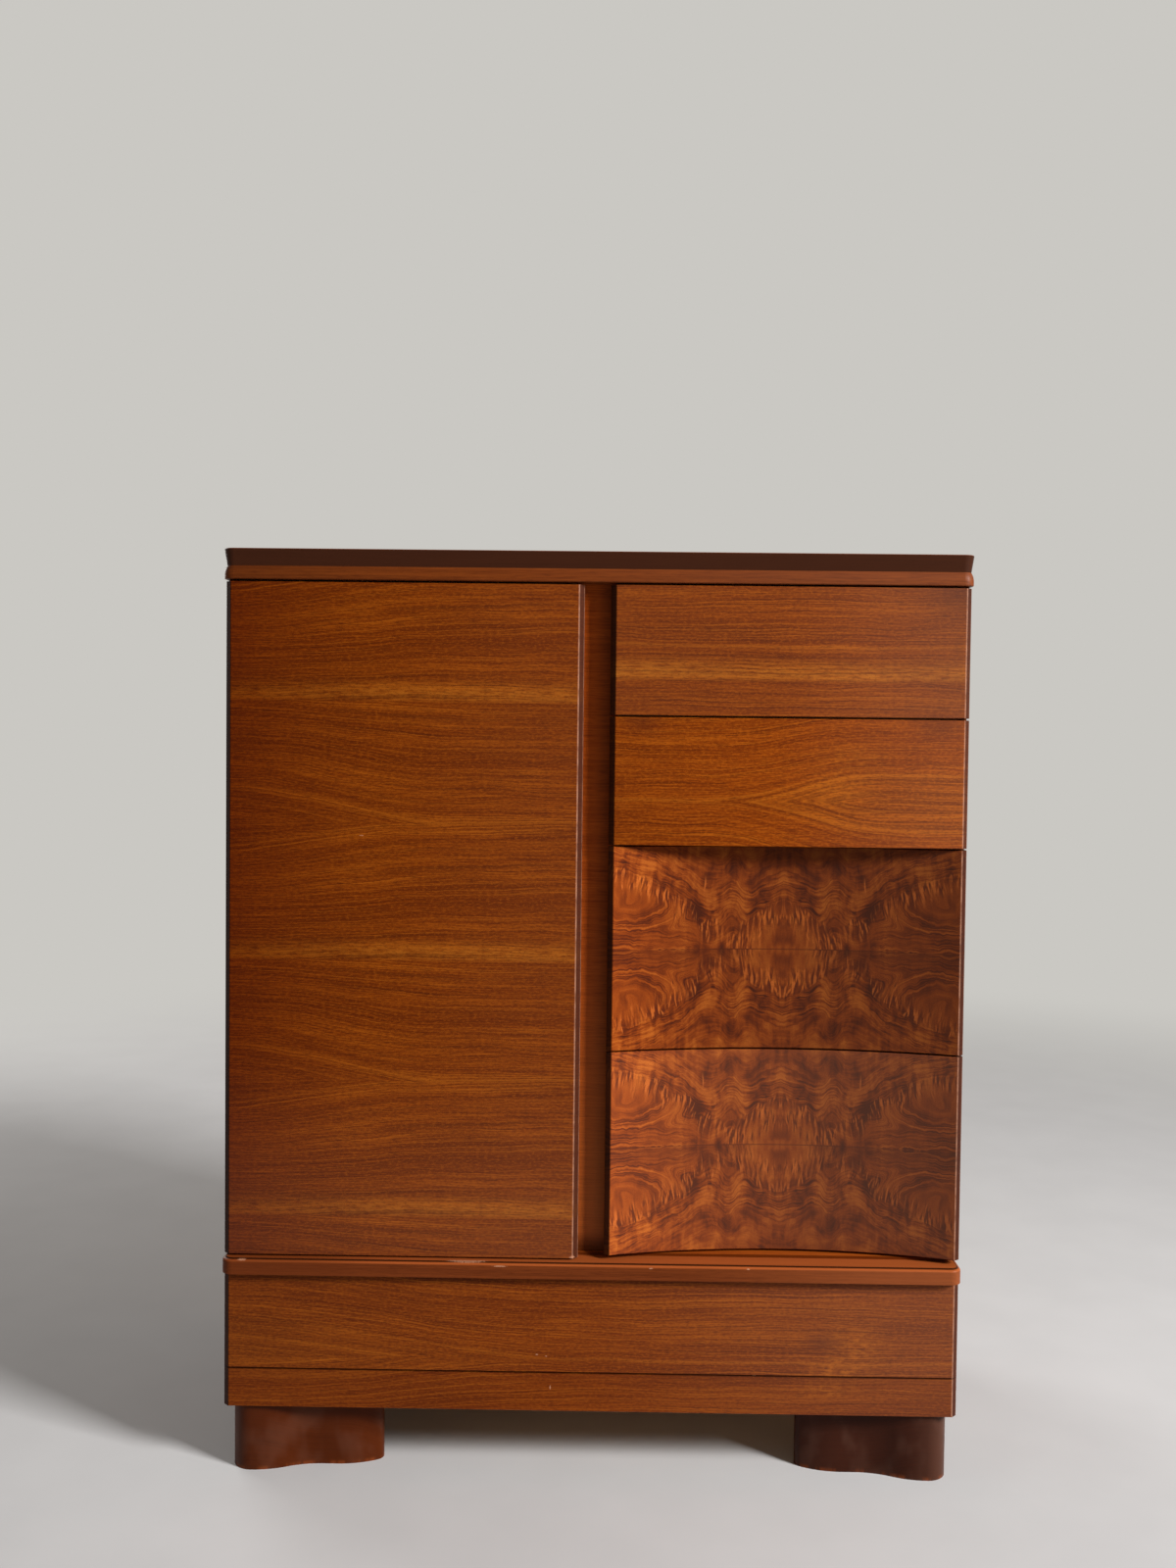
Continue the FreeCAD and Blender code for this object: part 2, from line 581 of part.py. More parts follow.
def make_case(case_cuts):
    """Case sides, partitions, channel board, subtop and back panels."""
    housings = make_rails()
    bow = bow_room(FLOOR_Z, STACK_TOP_Z - DRAWER_1_FRONT - REVEAL - DRAWER_2_FRONT - REVEAL / 2)
    subtop = box(-INNER_X - HOUSING, INNER_X + HOUSING, CASE_Y, PANEL_Y, SUBTOP_Z, RIM_Z)
    rebate = box(INNER_X, BACK_X, PANEL_Y, BACK_Y, FLOOR_Z, RIM_Z)
    side = box(INNER_X, HALF, CASE_Y, BACK_Y, WAIST_TOP_Z, RIM_Z).cut([rebate, subtop])
    keep("case_side_right", side.cut(housings + [bow]))
    keep("case_side_left", mirrored(side).cut(case_cuts))

    partition = box(PART_X, BAY_X, CASE_Y, PANEL_Y, FLOOR_Z, SUBTOP_Z)
    keep("partition_right", partition.cut(housings + [bow]))
    keep("partition_left", mirrored(partition))

    board_y = FACE_Y + CHANNEL_DEPTH
    board = box(-PART_X, PART_X, board_y, board_y + CHANNEL_BOARD, FLOOR_Z, RIM_Z)
    keep("channel_board", board)
    way = box(-PART_X, PART_X, CASE_Y, board_y + CHANNEL_BOARD, SUBTOP_Z, RIM_Z)
    keep("subtop", subtop.cut(way))

    keep("back_panel_wardrobe", box(-BACK_X, 0, PANEL_Y, BACK_Y, FLOOR_Z, TOP_Z))
    keep("back_panel_drawers", box(0, BACK_X, PANEL_Y, BACK_Y, FLOOR_Z, TOP_Z))


def make_hanging_rod():
    """Rod under the subtop, and the two brackets that it passes through."""
    x = -(INNER_X + BAY_X) / 2
    z = SUBTOP_Z - ROD_DROP
    y0, y1 = CASE_Y + ROD_END, PANEL_Y - ROD_END
    bar = rod(ROD_R, V(x, y0, z), V(0, 1, 0), y1 - y0)
    brackets = []
    for y in (y0 + BRACKET_INSET, y1 - BRACKET_INSET - BRACKET):
        half = BRACKET_WIDTH / 2
        face = outline((x - half, z), ((x, z - half), (x + half, z)), (x + half, SUBTOP_Z),
                       (x - half, SUBTOP_Z))
        plate = prism(face, 0, BRACKET)
        plate.rotate(V(0, 0, 0), V(1, 0, 0), 90)
        plate.translate(V(0, y + BRACKET, 0))
        flange_y = y if y < 0 else y - BRACKET_FLANGE + BRACKET
        flange = box(x - half, x + half, flange_y, flange_y + BRACKET_FLANGE,
                     SUBTOP_Z - BRACKET, SUBTOP_Z)
        brackets.append(fuse(plate, flange).cut(bar))
    keep("hanging_rod", bar)
    keep("rod_brackets", *brackets)


# ---------------------------------------------------------------- base and feet
def foot_outline():
    """Plan of the left front foot: a waved front part with a rounded inner end, and a side part."""
    x0, y0 = -HALF + FOOT_INSET, FACE_Y + FOOT_SET_BACK
    x1, y1 = x0 + FOOT_WIDTH, y0 + FOOT_DEPTH
    crest = (x0 + FOOT_OUTER_R, y0)
    trough = (crest[0] + FOOT_WAVE_RUN, y0 + FOOT_WAVE)
    turn = ((crest[0] + trough[0]) / 2, (crest[1] + trough[1]) / 2)
    # Two equal arcs make the wave: both are level at their outer ends and meet at the turn.
    radius = (FOOT_WAVE_RUN ** 2 + FOOT_WAVE ** 2) / (4 * FOOT_WAVE)
    lean = atan2(FOOT_WAVE, FOOT_WAVE_RUN)
    shift, rise = radius * sin(lean), radius * (1 - cos(lean))
    outer = quarter((x0 + FOOT_OUTER_R, y0 + FOOT_OUTER_R), FOOT_OUTER_R, FOOT_OUTER_R, 180, 270)
    # A wide arc lets the inner end fall away, and the tip's tight arc carries it to the back.
    reach, fall = FOOT_EASE - FOOT_TIP_R, FOOT_FALL - FOOT_TIP_R
    swing = 2 * atan2(fall, reach)
    wide = reach / sin(swing) + FOOT_TIP_R
    start = (x1 - FOOT_EASE, trough[1])
    halfway, meet = ((start[0] + wide * sin(a), start[1] + wide * (1 - cos(a)))
                     for a in (swing / 2, swing))
    tip = (x1, trough[1] + FOOT_FALL)
    inner_y = tip[1] + FOOT_TIP_R
    return outline((x0, y1), (x0, y0 + FOOT_OUTER_R), (outer, crest),
                   ((crest[0] + shift, crest[1] + rise), turn),
                   ((trough[0] - shift, trough[1] - rise), trough),
                   start, (halfway, meet), (tip, (x1 - FOOT_TIP_R, inner_y)),
                   (x0 + FOOT_SIDE, inner_y), (x0 + FOOT_SIDE, y1))


def make_feet():
    """Shaped front feet, plain rear feet, and the glue blocks in the angle of the front ones."""
    foot = prism(foot_outline(), 0, FOOT_HEIGHT)
    keep("foot_front_left", foot)
    keep("foot_front_right", mirrored(foot))
    x0 = -HALF + FOOT_INSET
    y1 = BACK_Y - REAR_FOOT_INSET
    rear = box(x0, x0 + REAR_FOOT_WIDTH, y1 - REAR_FOOT_WIDTH, y1, 0, FOOT_HEIGHT)
    keep("foot_rear_left", rear)
    keep("foot_rear_right", mirrored(rear))
    x, y = x0 + FOOT_SIDE, FACE_Y + FOOT_SET_BACK + FOOT_WAVE + FOOT_FALL + FOOT_TIP_R
    block = prism(outline((x, y), (x + BLOCK, y), (x, y + BLOCK)), FOOT_HEIGHT - BLOCK, FOOT_HEIGHT)
    keep("foot_blocks", block, mirrored(block))


def make_base():
    """Base sides, bottom with finger hollows, back, and the glides of the base drawer."""
    bottom_top = BASE_Z + DECK
    rebate = box(INNER_X, BACK_X, PANEL_Y, BACK_Y, BASE_Z, WAIST_Z)
    side = box(INNER_X, HALF, CASE_Y, BACK_Y, BASE_Z, WAIST_Z).cut(rebate)
    bottom = box(-INNER_X - HOUSING, INNER_X + HOUSING, CASE_Y, PANEL_Y, BASE_Z, bottom_top)
    side = side.cut(bottom)
    keep("base_side_right", side)
    keep("base_side_left", mirrored(side))
    half, depth = FINGER_NOTCH_WIDTH / 2, FINGER_NOTCH_DEPTH
    hollows = []
    for x in (-FINGER_NOTCH_X, FINGER_NOTCH_X):
        corner = quarter((x + half - depth, CASE_Y), depth, depth, 90, 0)
        other = quarter((x - half + depth, CASE_Y), depth, depth, 180, 90)
        plan = outline((x - half, CASE_Y), (other, (x - half + depth, CASE_Y + depth)),
                       (x + half - depth, CASE_Y + depth), (corner, (x + half, CASE_Y)))
        hollows.append(prism(plan, BASE_Z, bottom_top))
    keep("base_bottom", bottom.cut(hollows))
    keep("base_back", box(-BACK_X, BACK_X, PANEL_Y, BACK_Y, BASE_Z, WAIST_Z))
    glides = [box(x, x + RUNNER_WIDTH, CASE_Y, PANEL_Y, bottom_top, bottom_top + GLIDE)
              for x in (-INNER_X, INNER_X - RUNNER_WIDTH)]
    keep("base_glides", *glides)


# ---------------------------------------------------------------- build and export
def build():
    make_top()
    make_waist()
    case_cuts, door_cuts = make_hinges()
    make_case(case_cuts)
    make_door(door_cuts)
    make_catch()
    make_hanging_rod()
    make_drawers()
    make_base()
    make_feet()


build()
os.makedirs("parts", exist_ok=True)
for node, shape in nodes.items():
    shape.exportStep(f"parts/{node}.step")
print(len(nodes), "nodes,", sum(len(s.Solids) for s in nodes.values()), "solids")
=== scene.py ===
"""Looks of the chifforobe: camera, light, stage, and a procedural material for every piece.

Lengths are metres, apart from the materials, whose patterns are laid out in millimetres of the
row frame. Colours are written as 8-bit sRGB.
"""

import math

import bpy
from mathutils import Matrix, Vector


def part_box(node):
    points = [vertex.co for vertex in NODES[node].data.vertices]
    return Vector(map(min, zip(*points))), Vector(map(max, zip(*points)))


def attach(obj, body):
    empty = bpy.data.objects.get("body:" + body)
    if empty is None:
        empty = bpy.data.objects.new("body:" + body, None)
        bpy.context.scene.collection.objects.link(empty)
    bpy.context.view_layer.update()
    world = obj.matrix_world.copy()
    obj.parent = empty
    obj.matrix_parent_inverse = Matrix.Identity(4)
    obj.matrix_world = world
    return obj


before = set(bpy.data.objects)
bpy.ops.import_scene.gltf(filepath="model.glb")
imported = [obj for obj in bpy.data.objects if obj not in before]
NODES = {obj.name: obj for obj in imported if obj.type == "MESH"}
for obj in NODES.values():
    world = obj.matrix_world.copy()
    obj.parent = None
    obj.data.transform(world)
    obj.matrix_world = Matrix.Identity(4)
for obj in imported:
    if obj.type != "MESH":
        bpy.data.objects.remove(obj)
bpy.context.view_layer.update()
X, Y, Z = 0, 1, 2


def mm(node, axis, end):
    """Where a CAD node starts (end 0) or stops (end 1) along an axis, in millimetres."""
    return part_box(node)[end][axis] * 1000


def span(node, axis):
    return mm(node, axis, 0), mm(node, axis, 1)


def inset(node, axis, distance):
    """The two places on an axis that lie so far within a CAD node's ends."""
    return mm(node, axis, 0) + distance, mm(node, axis, 1) - distance


# ---------------------------------------------------------------- camera
FRAME_HEIGHT_PX = 1600
FOCAL_PX = 1500
SENSOR_MM = 36.0
CAMERA_AHEAD = 2.004          # of the door's face
CAMERA_X = 0.0118
CAMERA_Z = 1.0286
YAW, PITCH, ROLL = 0.01127, 0.03326, 0.01105   # radians: to the left, down, right side up


def make_camera():
    data = bpy.data.cameras.new("camera")
    data.sensor_fit = "AUTO"
    data.sensor_width = SENSOR_MM
    data.lens = SENSOR_MM * FOCAL_PX / FRAME_HEIGHT_PX
    camera = bpy.data.objects.new("camera", data)
    bpy.context.scene.collection.objects.link(camera)
    ahead = Vector((-math.sin(YAW) * math.cos(PITCH), math.cos(YAW) * math.cos(PITCH),
                    -math.sin(PITCH)))
    level = Vector((math.cos(YAW), math.sin(YAW), 0))
    up = level.cross(ahead)
    right = math.cos(ROLL) * level + math.sin(ROLL) * up
    above = math.cos(ROLL) * up - math.sin(ROLL) * level
    turn = Matrix((right, above, -ahead)).transposed().to_4x4()
    face_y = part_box("door_panel")[0].y
    camera.matrix_world = Matrix.Translation((CAMERA_X, face_y - CAMERA_AHEAD, CAMERA_Z)) @ turn
    bpy.context.scene.camera = camera


# ---------------------------------------------------------------- node helper
CURVE_TOP = 200.0             # above every point of a curve
LACQUER_GLOSS, VENEER_GLOSS, BARE_GLOSS = 0.08, 0.06, 0.03


def srgb(r, g, b):
    """Linear colour, with alpha, from 8-bit sRGB."""
    def linear(c):
        c /= 255
        return c / 12.92 if c <= 0.04045 else ((c + 0.055) / 1.055) ** 2.4
    return (linear(r), linear(g), linear(b), 1.0)


class Shader:
    """The node tree of a new material or world, built from short calls.

    A value is a socket or a plain number.
    """

    def __init__(self, name, kind=bpy.data.materials):
        self.owner = kind.new(name)
        self.owner.use_nodes = True
        self.nodes = self.owner.node_tree.nodes
        self.links = self.owner.node_tree.links
        self.surface = self.nodes.get("Principled BSDF")

    def feed(self, socket, value):
        if isinstance(value, bpy.types.NodeSocket):
            self.links.new(value, socket)
        else:
            socket.default_value = value

    def math(self, operation, a, b=0.0):
        node = self.nodes.new("ShaderNodeMath")
        node.operation = operation
        for socket, value in zip(node.inputs, (a, b)):
            self.feed(socket, value)
        return node.outputs[0]

    def add(self, a, b):
        return self.math("ADD", a, b)

    def sub(self, a, b):
        return self.math("SUBTRACT", a, b)

    def mul(self, a, b):
        return self.math("MULTIPLY", a, b)

    def swing(self, value, size):
        """A pattern from 0 to 1, turned into one about 0 that is size from end to end."""
        return self.mul(self.sub(value, 0.5), size)

    def position(self):
        """Object coordinates in millimetres, as three sockets."""
        node = self.nodes.new("ShaderNodeTexCoord")
        split = self.nodes.new("ShaderNodeSeparateXYZ")
        self.links.new(node.outputs["Object"], split.inputs[0])
        return [self.mul(out, 1000.0) for out in split.outputs]

    def vector(self, x, y, z):
        node = self.nodes.new("ShaderNodeCombineXYZ")
        for socket, value in zip(node.inputs, (x, y, z)):
            self.feed(socket, value)
        return node.outputs[0]

    def noise(self, x, y, z=0.0, detail=2.0, rough=0.5, warp=0.0):
        """Noise from 0 to 1. A coordinate is a value, or a value and the length of its patches."""
        node = self.nodes.new("ShaderNodeTexNoise")
        places = [self.mul(c[0], 1 / c[1]) if isinstance(c, tuple) else c for c in (x, y, z)]
        self.feed(node.inputs["Vector"], self.vector(*places))
        node.inputs["Scale"].default_value = 1.0
        node.inputs["Detail"].default_value = detail
        node.inputs["Roughness"].default_value = rough
        node.inputs["Distortion"].default_value = warp
        return node.outputs[0]

    def step(self, value, low, high, to_low=0.0, to_high=1.0):
        """Smooth step from low to high."""
        node = self.nodes.new("ShaderNodeMapRange")
        node.interpolation_type = "SMOOTHSTEP"
        for name, number in (("Value", value), ("From Min", low), ("From Max", high),
                             ("To Min", to_low), ("To Max", to_high)):
            self.feed(node.inputs[name], number)
        return node.outputs[0]

    def bump_at(self, value, middle, width):
        """1 at middle, falling smoothly to 0 at width to either side."""
        away = self.math("ABSOLUTE", self.sub(value, middle))
        return self.step(away, width, 0.0)

    def spot(self, x, z, middle_x, middle_z, wide, high):
        """1 in the middle, falling smoothly to 0 at wide beside it and at high above and below."""
        return self.mul(self.bump_at(x, middle_x, wide), self.bump_at(z, middle_z, high))

    def curve(self, value, points):
        """Height of a smooth line through points (x, y) at a value of x."""
        node = self.nodes.new("ShaderNodeFloatCurve")
        line = node.mapping.curves[0]
        reach = points[-1][0]
        line.points[0].location = (0.0, points[0][1] / CURVE_TOP)
        line.points[1].location = (1.0, points[-1][1] / CURVE_TOP)
        for x, y in points[1:-1]:
            line.points.new(x / reach, y / CURVE_TOP)
        node.mapping.update()
        self.feed(node.inputs["Value"], self.mul(value, 1 / reach))
        return self.mul(node.outputs[0], CURVE_TOP)

    def ramp(self, value, *stops):
        """Colour ramp; each stop is (position, colour)."""
        node = self.nodes.new("ShaderNodeValToRGB")
        elements = node.color_ramp.elements
        while len(elements) < len(stops):
            elements.new(0.5)
        for element, (position, colour) in zip(elements, stops):
            element.position = position
            element.color = colour
        self.feed(node.inputs[0], value)
        return node.outputs[0]

    def mix(self, share, a, b, blend="MIX"):
        node = self.nodes.new("ShaderNodeMix")
        node.data_type = "RGBA"
        node.blend_type = blend
        for socket, value in zip((node.inputs["Factor"], node.inputs[6], node.inputs[7]),
                                 (share, a, b)):
            self.feed(socket, value)
        return node.outputs[2]

    def finish(self, colour, roughness, height=None, depth=0.0, gloss=LACQUER_GLOSS,
               metallic=0.0):
        """Connects the surface. height is a pattern from 0 to 1, and depth its size in metres."""
        self.feed(self.surface.inputs["Base Color"], colour)
        self.feed(self.surface.inputs["Roughness"], roughness)
        self.surface.inputs["Metallic"].default_value = metallic
        self.surface.inputs["Specular IOR Level"].default_value = gloss
        if height is not None:
            bump = self.nodes.new("ShaderNodeBump")
            bump.inputs["Distance"].default_value = depth
            self.feed(bump.inputs["Height"], height)
            self.links.new(bump.outputs[0], self.surface.inputs["Normal"])
        return self.owner

    def shows_backdrop(self):
        """1 for camera, glossy and transmission rays, 0 for the rays that light things."""
        path = self.nodes.new("ShaderNodeLightPath").outputs
        mirrored = self.math("MAXIMUM", path["Is Glossy Ray"], path["Is Transmission Ray"])
        return self.math("MAXIMUM", path["Is Camera Ray"], mirrored)


# ---------------------------------------------------------------- walnut
WALNUT = ((92, 34, 1), (121, 52, 3), (151, 75, 10))   # dark, middle and light, as 8-bit sRGB
# Near black: a scored line, a darkened step, and painted shadow at the foot of the finger channel.
NEAR_BLACK = srgb(28, 9, 3)
WALNUT_DEEP = srgb(66, 22, 2)
WALNUT_GOLD = srgb(166, 90, 17)
WALNUT_BAND = srgb(172, 100, 26)
# Painted sheen: a greyish veil that stands in for reflections of the light and the floor.
SHEEN_PAINT = srgb(196, 150, 128)
STAIN = srgb(62, 22, 12)
WORN = srgb(178, 128, 100)
# Bevel colours: painted shade on the left bevels, darker wood with a painted grey reflection on
# the right ones, and painted highlights.
EDGE_LEFT_SHADE = srgb(30, 9, 3)
EDGE_RIGHT_SHEEN = srgb(54, 26, 18)
EDGE_HIGHLIGHT = srgb(170, 124, 100)
CHANNEL_PALE = srgb(184, 106, 52)
FOOT_WORN = srgb(150, 74, 34)

# Straight-grained pieces: dark and light streaks, as 8-bit sRGB.
RIM = ((84, 34, 6), (122, 58, 17))
CHANNEL = ((118, 46, 6), (168, 76, 16))
FOOT_LEFT = ((60, 22, 3), (80, 33, 8))
FOOT_RIGHT = ((42, 18, 9), (58, 27, 16))
TOP = ((84, 38, 14), (128, 64, 28))
TOP_EDGE = ((44, 18, 6), (64, 32, 17))
WAIST = ((84, 35, 8), (112, 52, 18))
# Painted light: the lighter upper face of the waist.
WAIST_UPPER_LIT = ((124, 54, 18), (184, 98, 48))
# Darker left end; painted sheen at the right end.
WAIST_LEFT, WAIST_RIGHT_SHEEN = srgb(92, 40, 12), srgb(150, 82, 46)
CASE_BOTTOM = ((120, 50, 10), (170, 84, 26))
SIDE = ((76, 34, 11), (108, 54, 20))

BEVEL = 7.5                   # along the upright edges of the fronts, in millimetres
GOLD_OVER_JOINT = 12.0        # height of the golden band in a leaf of veneer, in millimetres
VENEER_RELIEF, BURL_RELIEF, WALNUT_RELIEF = 0.00012, 0.00015, 0.0001   # metres, like the next
FOOT_RELIEF, BARE_RELIEF, METAL_RELIEF = 0.00004, 0.00015, 0.00005


def tones(scale, colours):
    """8-bit sRGB colours, made lighter or darker together."""
    return [tuple(c * scale for c in srgb(*rgb)[:3]) + (1.0,) for rgb in colours]


def fibre(s, along, across, seed, level=None):
    """Straight fibre and pores. Returns (streaks, threads, pores), all from 0 to 1.

    across is the growth coordinate; level is the plain one, which the finest marks follow.
    Streaks are light or dark bands, threads thin lines about 0.5, and pores short dark dashes.
    """
    if level is None:
        level = across
    broad = s.noise((along, 520), (across, 17), seed, 3.0, 0.55)
    lines = s.noise((along, 420), (across, 3.6), seed + 7, 3.0, 0.75)
    fine = s.noise((along, 60), (level, 1.6), seed + 13, 2.0, 0.6)
    streaks = s.add(s.mul(broad, 0.26), s.add(s.mul(lines, 0.38), s.mul(fine, 0.36)))
    threads = s.noise((along, 500), (across, 2.0), seed + 53, 1.0, 0.5)
    dashes = s.noise((along, 20), (level, 1.3), seed + 29, 1.0, 0.6)
    return streaks, threads, s.step(dashes, 0.52, 0.70)


def cathedral(s, x, up, tip_x, opens, above, below, reach):
    """Growth coordinate whose level lines part at the tip, one V inside the other.

    up is the height over the tip. The Vs open to the left (opens -1) or to the right (1), as far
    as above and below say, and reach is the length over which they do.
    """
    beyond = s.mul(s.sub(x, tip_x), opens)
    opened = s.mul(s.step(beyond, 0.0, reach), s.step(up, -1.0, 1.0, below, above))
    away = s.math("ABSOLUTE", up)
    return s.sub(away, s.mul(opened, s.step(away, 30.0, 190.0, 1.0, 0.3)))


def grade(s, colour, x, *stops):
    """Makes the colour lighter or darker across a front; each stop is (x, one factor or three)."""
    low, high = stops[0][0], stops[-1][0]
    share = s.mul(s.sub(x, low), 1 / (high - low))
    halves = []
    for at, factor in stops:
        red, green, blue = factor if isinstance(factor, tuple) else (factor,) * 3
        halves.append(((at - low) / (high - low), (red / 2, green / 2, blue / 2, 1.0)))
    doubled = s.mix(1.0, colour, (2.0, 2.0, 2.0, 1.0), "MULTIPLY")
    return s.mix(1.0, doubled, s.ramp(share, *halves), "MULTIPLY")


def dress_edges(s, colour, node, x, y, z):
    """Bevelled upright edges: painted shade, nearly black, on the left; a painted grey reflection
    and patchy painted highlights on the right.
    """
    x0, x1 = span(node, X)
    middle = (x0 + x1) / 2
    bevel_y = mm(node, Y, 0) + BEVEL
    out = s.sub(s.math("ABSOLUTE", s.sub(x, middle)), (x1 - x0) / 2)
    right = s.step(x, middle - 1.0, middle + 1.0)
    # Painted shade makes the left bevels nearly black; the right ones are darker, with a painted
    # grey reflection.
    colour = s.mix(s.step(out, -8.2, -6.6, 0.0, 0.85), colour,
                   s.mix(right, EDGE_LEFT_SHADE, EDGE_RIGHT_SHEEN))
    # Painted highlights along the right arrises, in patches.
    arris = s.mul(s.bump_at(out, 0.0, 1.2), s.step(y, bevel_y + 1.6, bevel_y + 0.4))
    wear_and_highlight = s.add(s.bump_at(out, -7.2, 1.5), s.mul(arris, 0.7))
    patchy = s.step(s.noise(0.0, 0.0, (z, 26), 3.0, 0.6), 0.36, 0.60, 0.3, 0.72)
    return s.mix(s.mul(s.mul(wear_and_highlight, right), patchy), colour, EDGE_HIGHLIGHT)


def wear(s, colour, x, z, *chips):
    """Chipped and rubbed spots that show pale wood; each is (x, z, half width, half height)."""
    ragged = s.noise((x, 2.5), (z, 1.2), 71.0, 3.0, 0.7)
    spots = 0.0
    for chip in chips:
        spots = s.math("MAXIMUM", spots, s.spot(x, z, *chip))
    return s.mix(s.step(s.mul(spots, ragged), 0.24, 0.40, 0.0, 0.75), colour, WORN)


def v_lines(s, colour, x, up, across, tip_x, opens, seed, heart, crisp):
    """The golden heart of the Vs, a light crest over the first one, and fine lines in them.

    heart says how golden the wood in the Vs is, and crisp how clear the lines are.
    """
    colour = s.mix(s.step(across, 3.0, -9.0, 0.0, heart), colour, WALNUT_GOLD)
    crest = s.mul(s.bump_at(across, 1.5, 3.5), s.step(up, -3.0, 1.0))
    beyond = s.mul(s.sub(x, tip_x), opens)
    colour = s.mix(s.mul(crest, s.step(beyond, 160.0, 60.0, 0.0, 0.45)), colour, WALNUT_GOLD)
    inside = s.mul(s.step(across, 16.0, 2.0), s.step(beyond, -10.0, 50.0))
    rings = s.noise((x, 700), (across, 4.4), seed + 67, 1.0, 0.5)
    colour = s.mix(s.mul(inside, s.step(rings, 0.55, 0.63, 0.0, crisp)), colour, WALNUT_GOLD)
    return s.mix(s.mul(inside, s.step(rings, 0.45, 0.37, 0.0, crisp)), colour, WALNUT_DEEP)


def closed_rings(s, colour, x, z, middle_x, middle_z, wide, high):
    """Two closed growth rings, each a golden line in a dark one, fading to the right."""
    flat_x = s.mul(s.sub(x, middle_x), 1 / wide)
    flat_z = s.mul(s.sub(z, middle_z), 1 / high)
    ring = s.math("SQRT", s.add(s.mul(flat_x, flat_x), s.mul(flat_z, flat_z)))
    fading = s.step(flat_x, 1.0, -0.6, 0.15, 1.0)
    for radius, share in ((1.0, 0.4), (0.5, 0.2)):
        for middle, width, line in ((radius, 0.2, WALNUT_GOLD),
                                    (radius + 0.26, 0.14, WALNUT_DEEP)):
            near = s.mul(fading, s.bump_at(ring, middle, width))
            colour = s.mix(s.mul(near, share), colour, line)
    return colour


def golden_band(s, colour, x, z, gold, seed, share):
    """A wandering golden band, which ends sharply below and fades upwards."""
    wander = s.swing(s.noise((x, 240), 0.0, seed + 3, 1.0), 10.0)
    height = s.sub(s.add(z, wander), gold)
    band = s.mul(s.step(height, -15.0, -4.0), s.step(height, 26.0, -4.0))
    patchy = s.noise((x, 20), (z, 3.2), seed + 5, 3.0)
    band = s.mul(band, s.step(patchy, 0.30, 0.62, 0.25, 1.0))
    return s.mix(s.mul(band, share), colour, WALNUT_BAND)


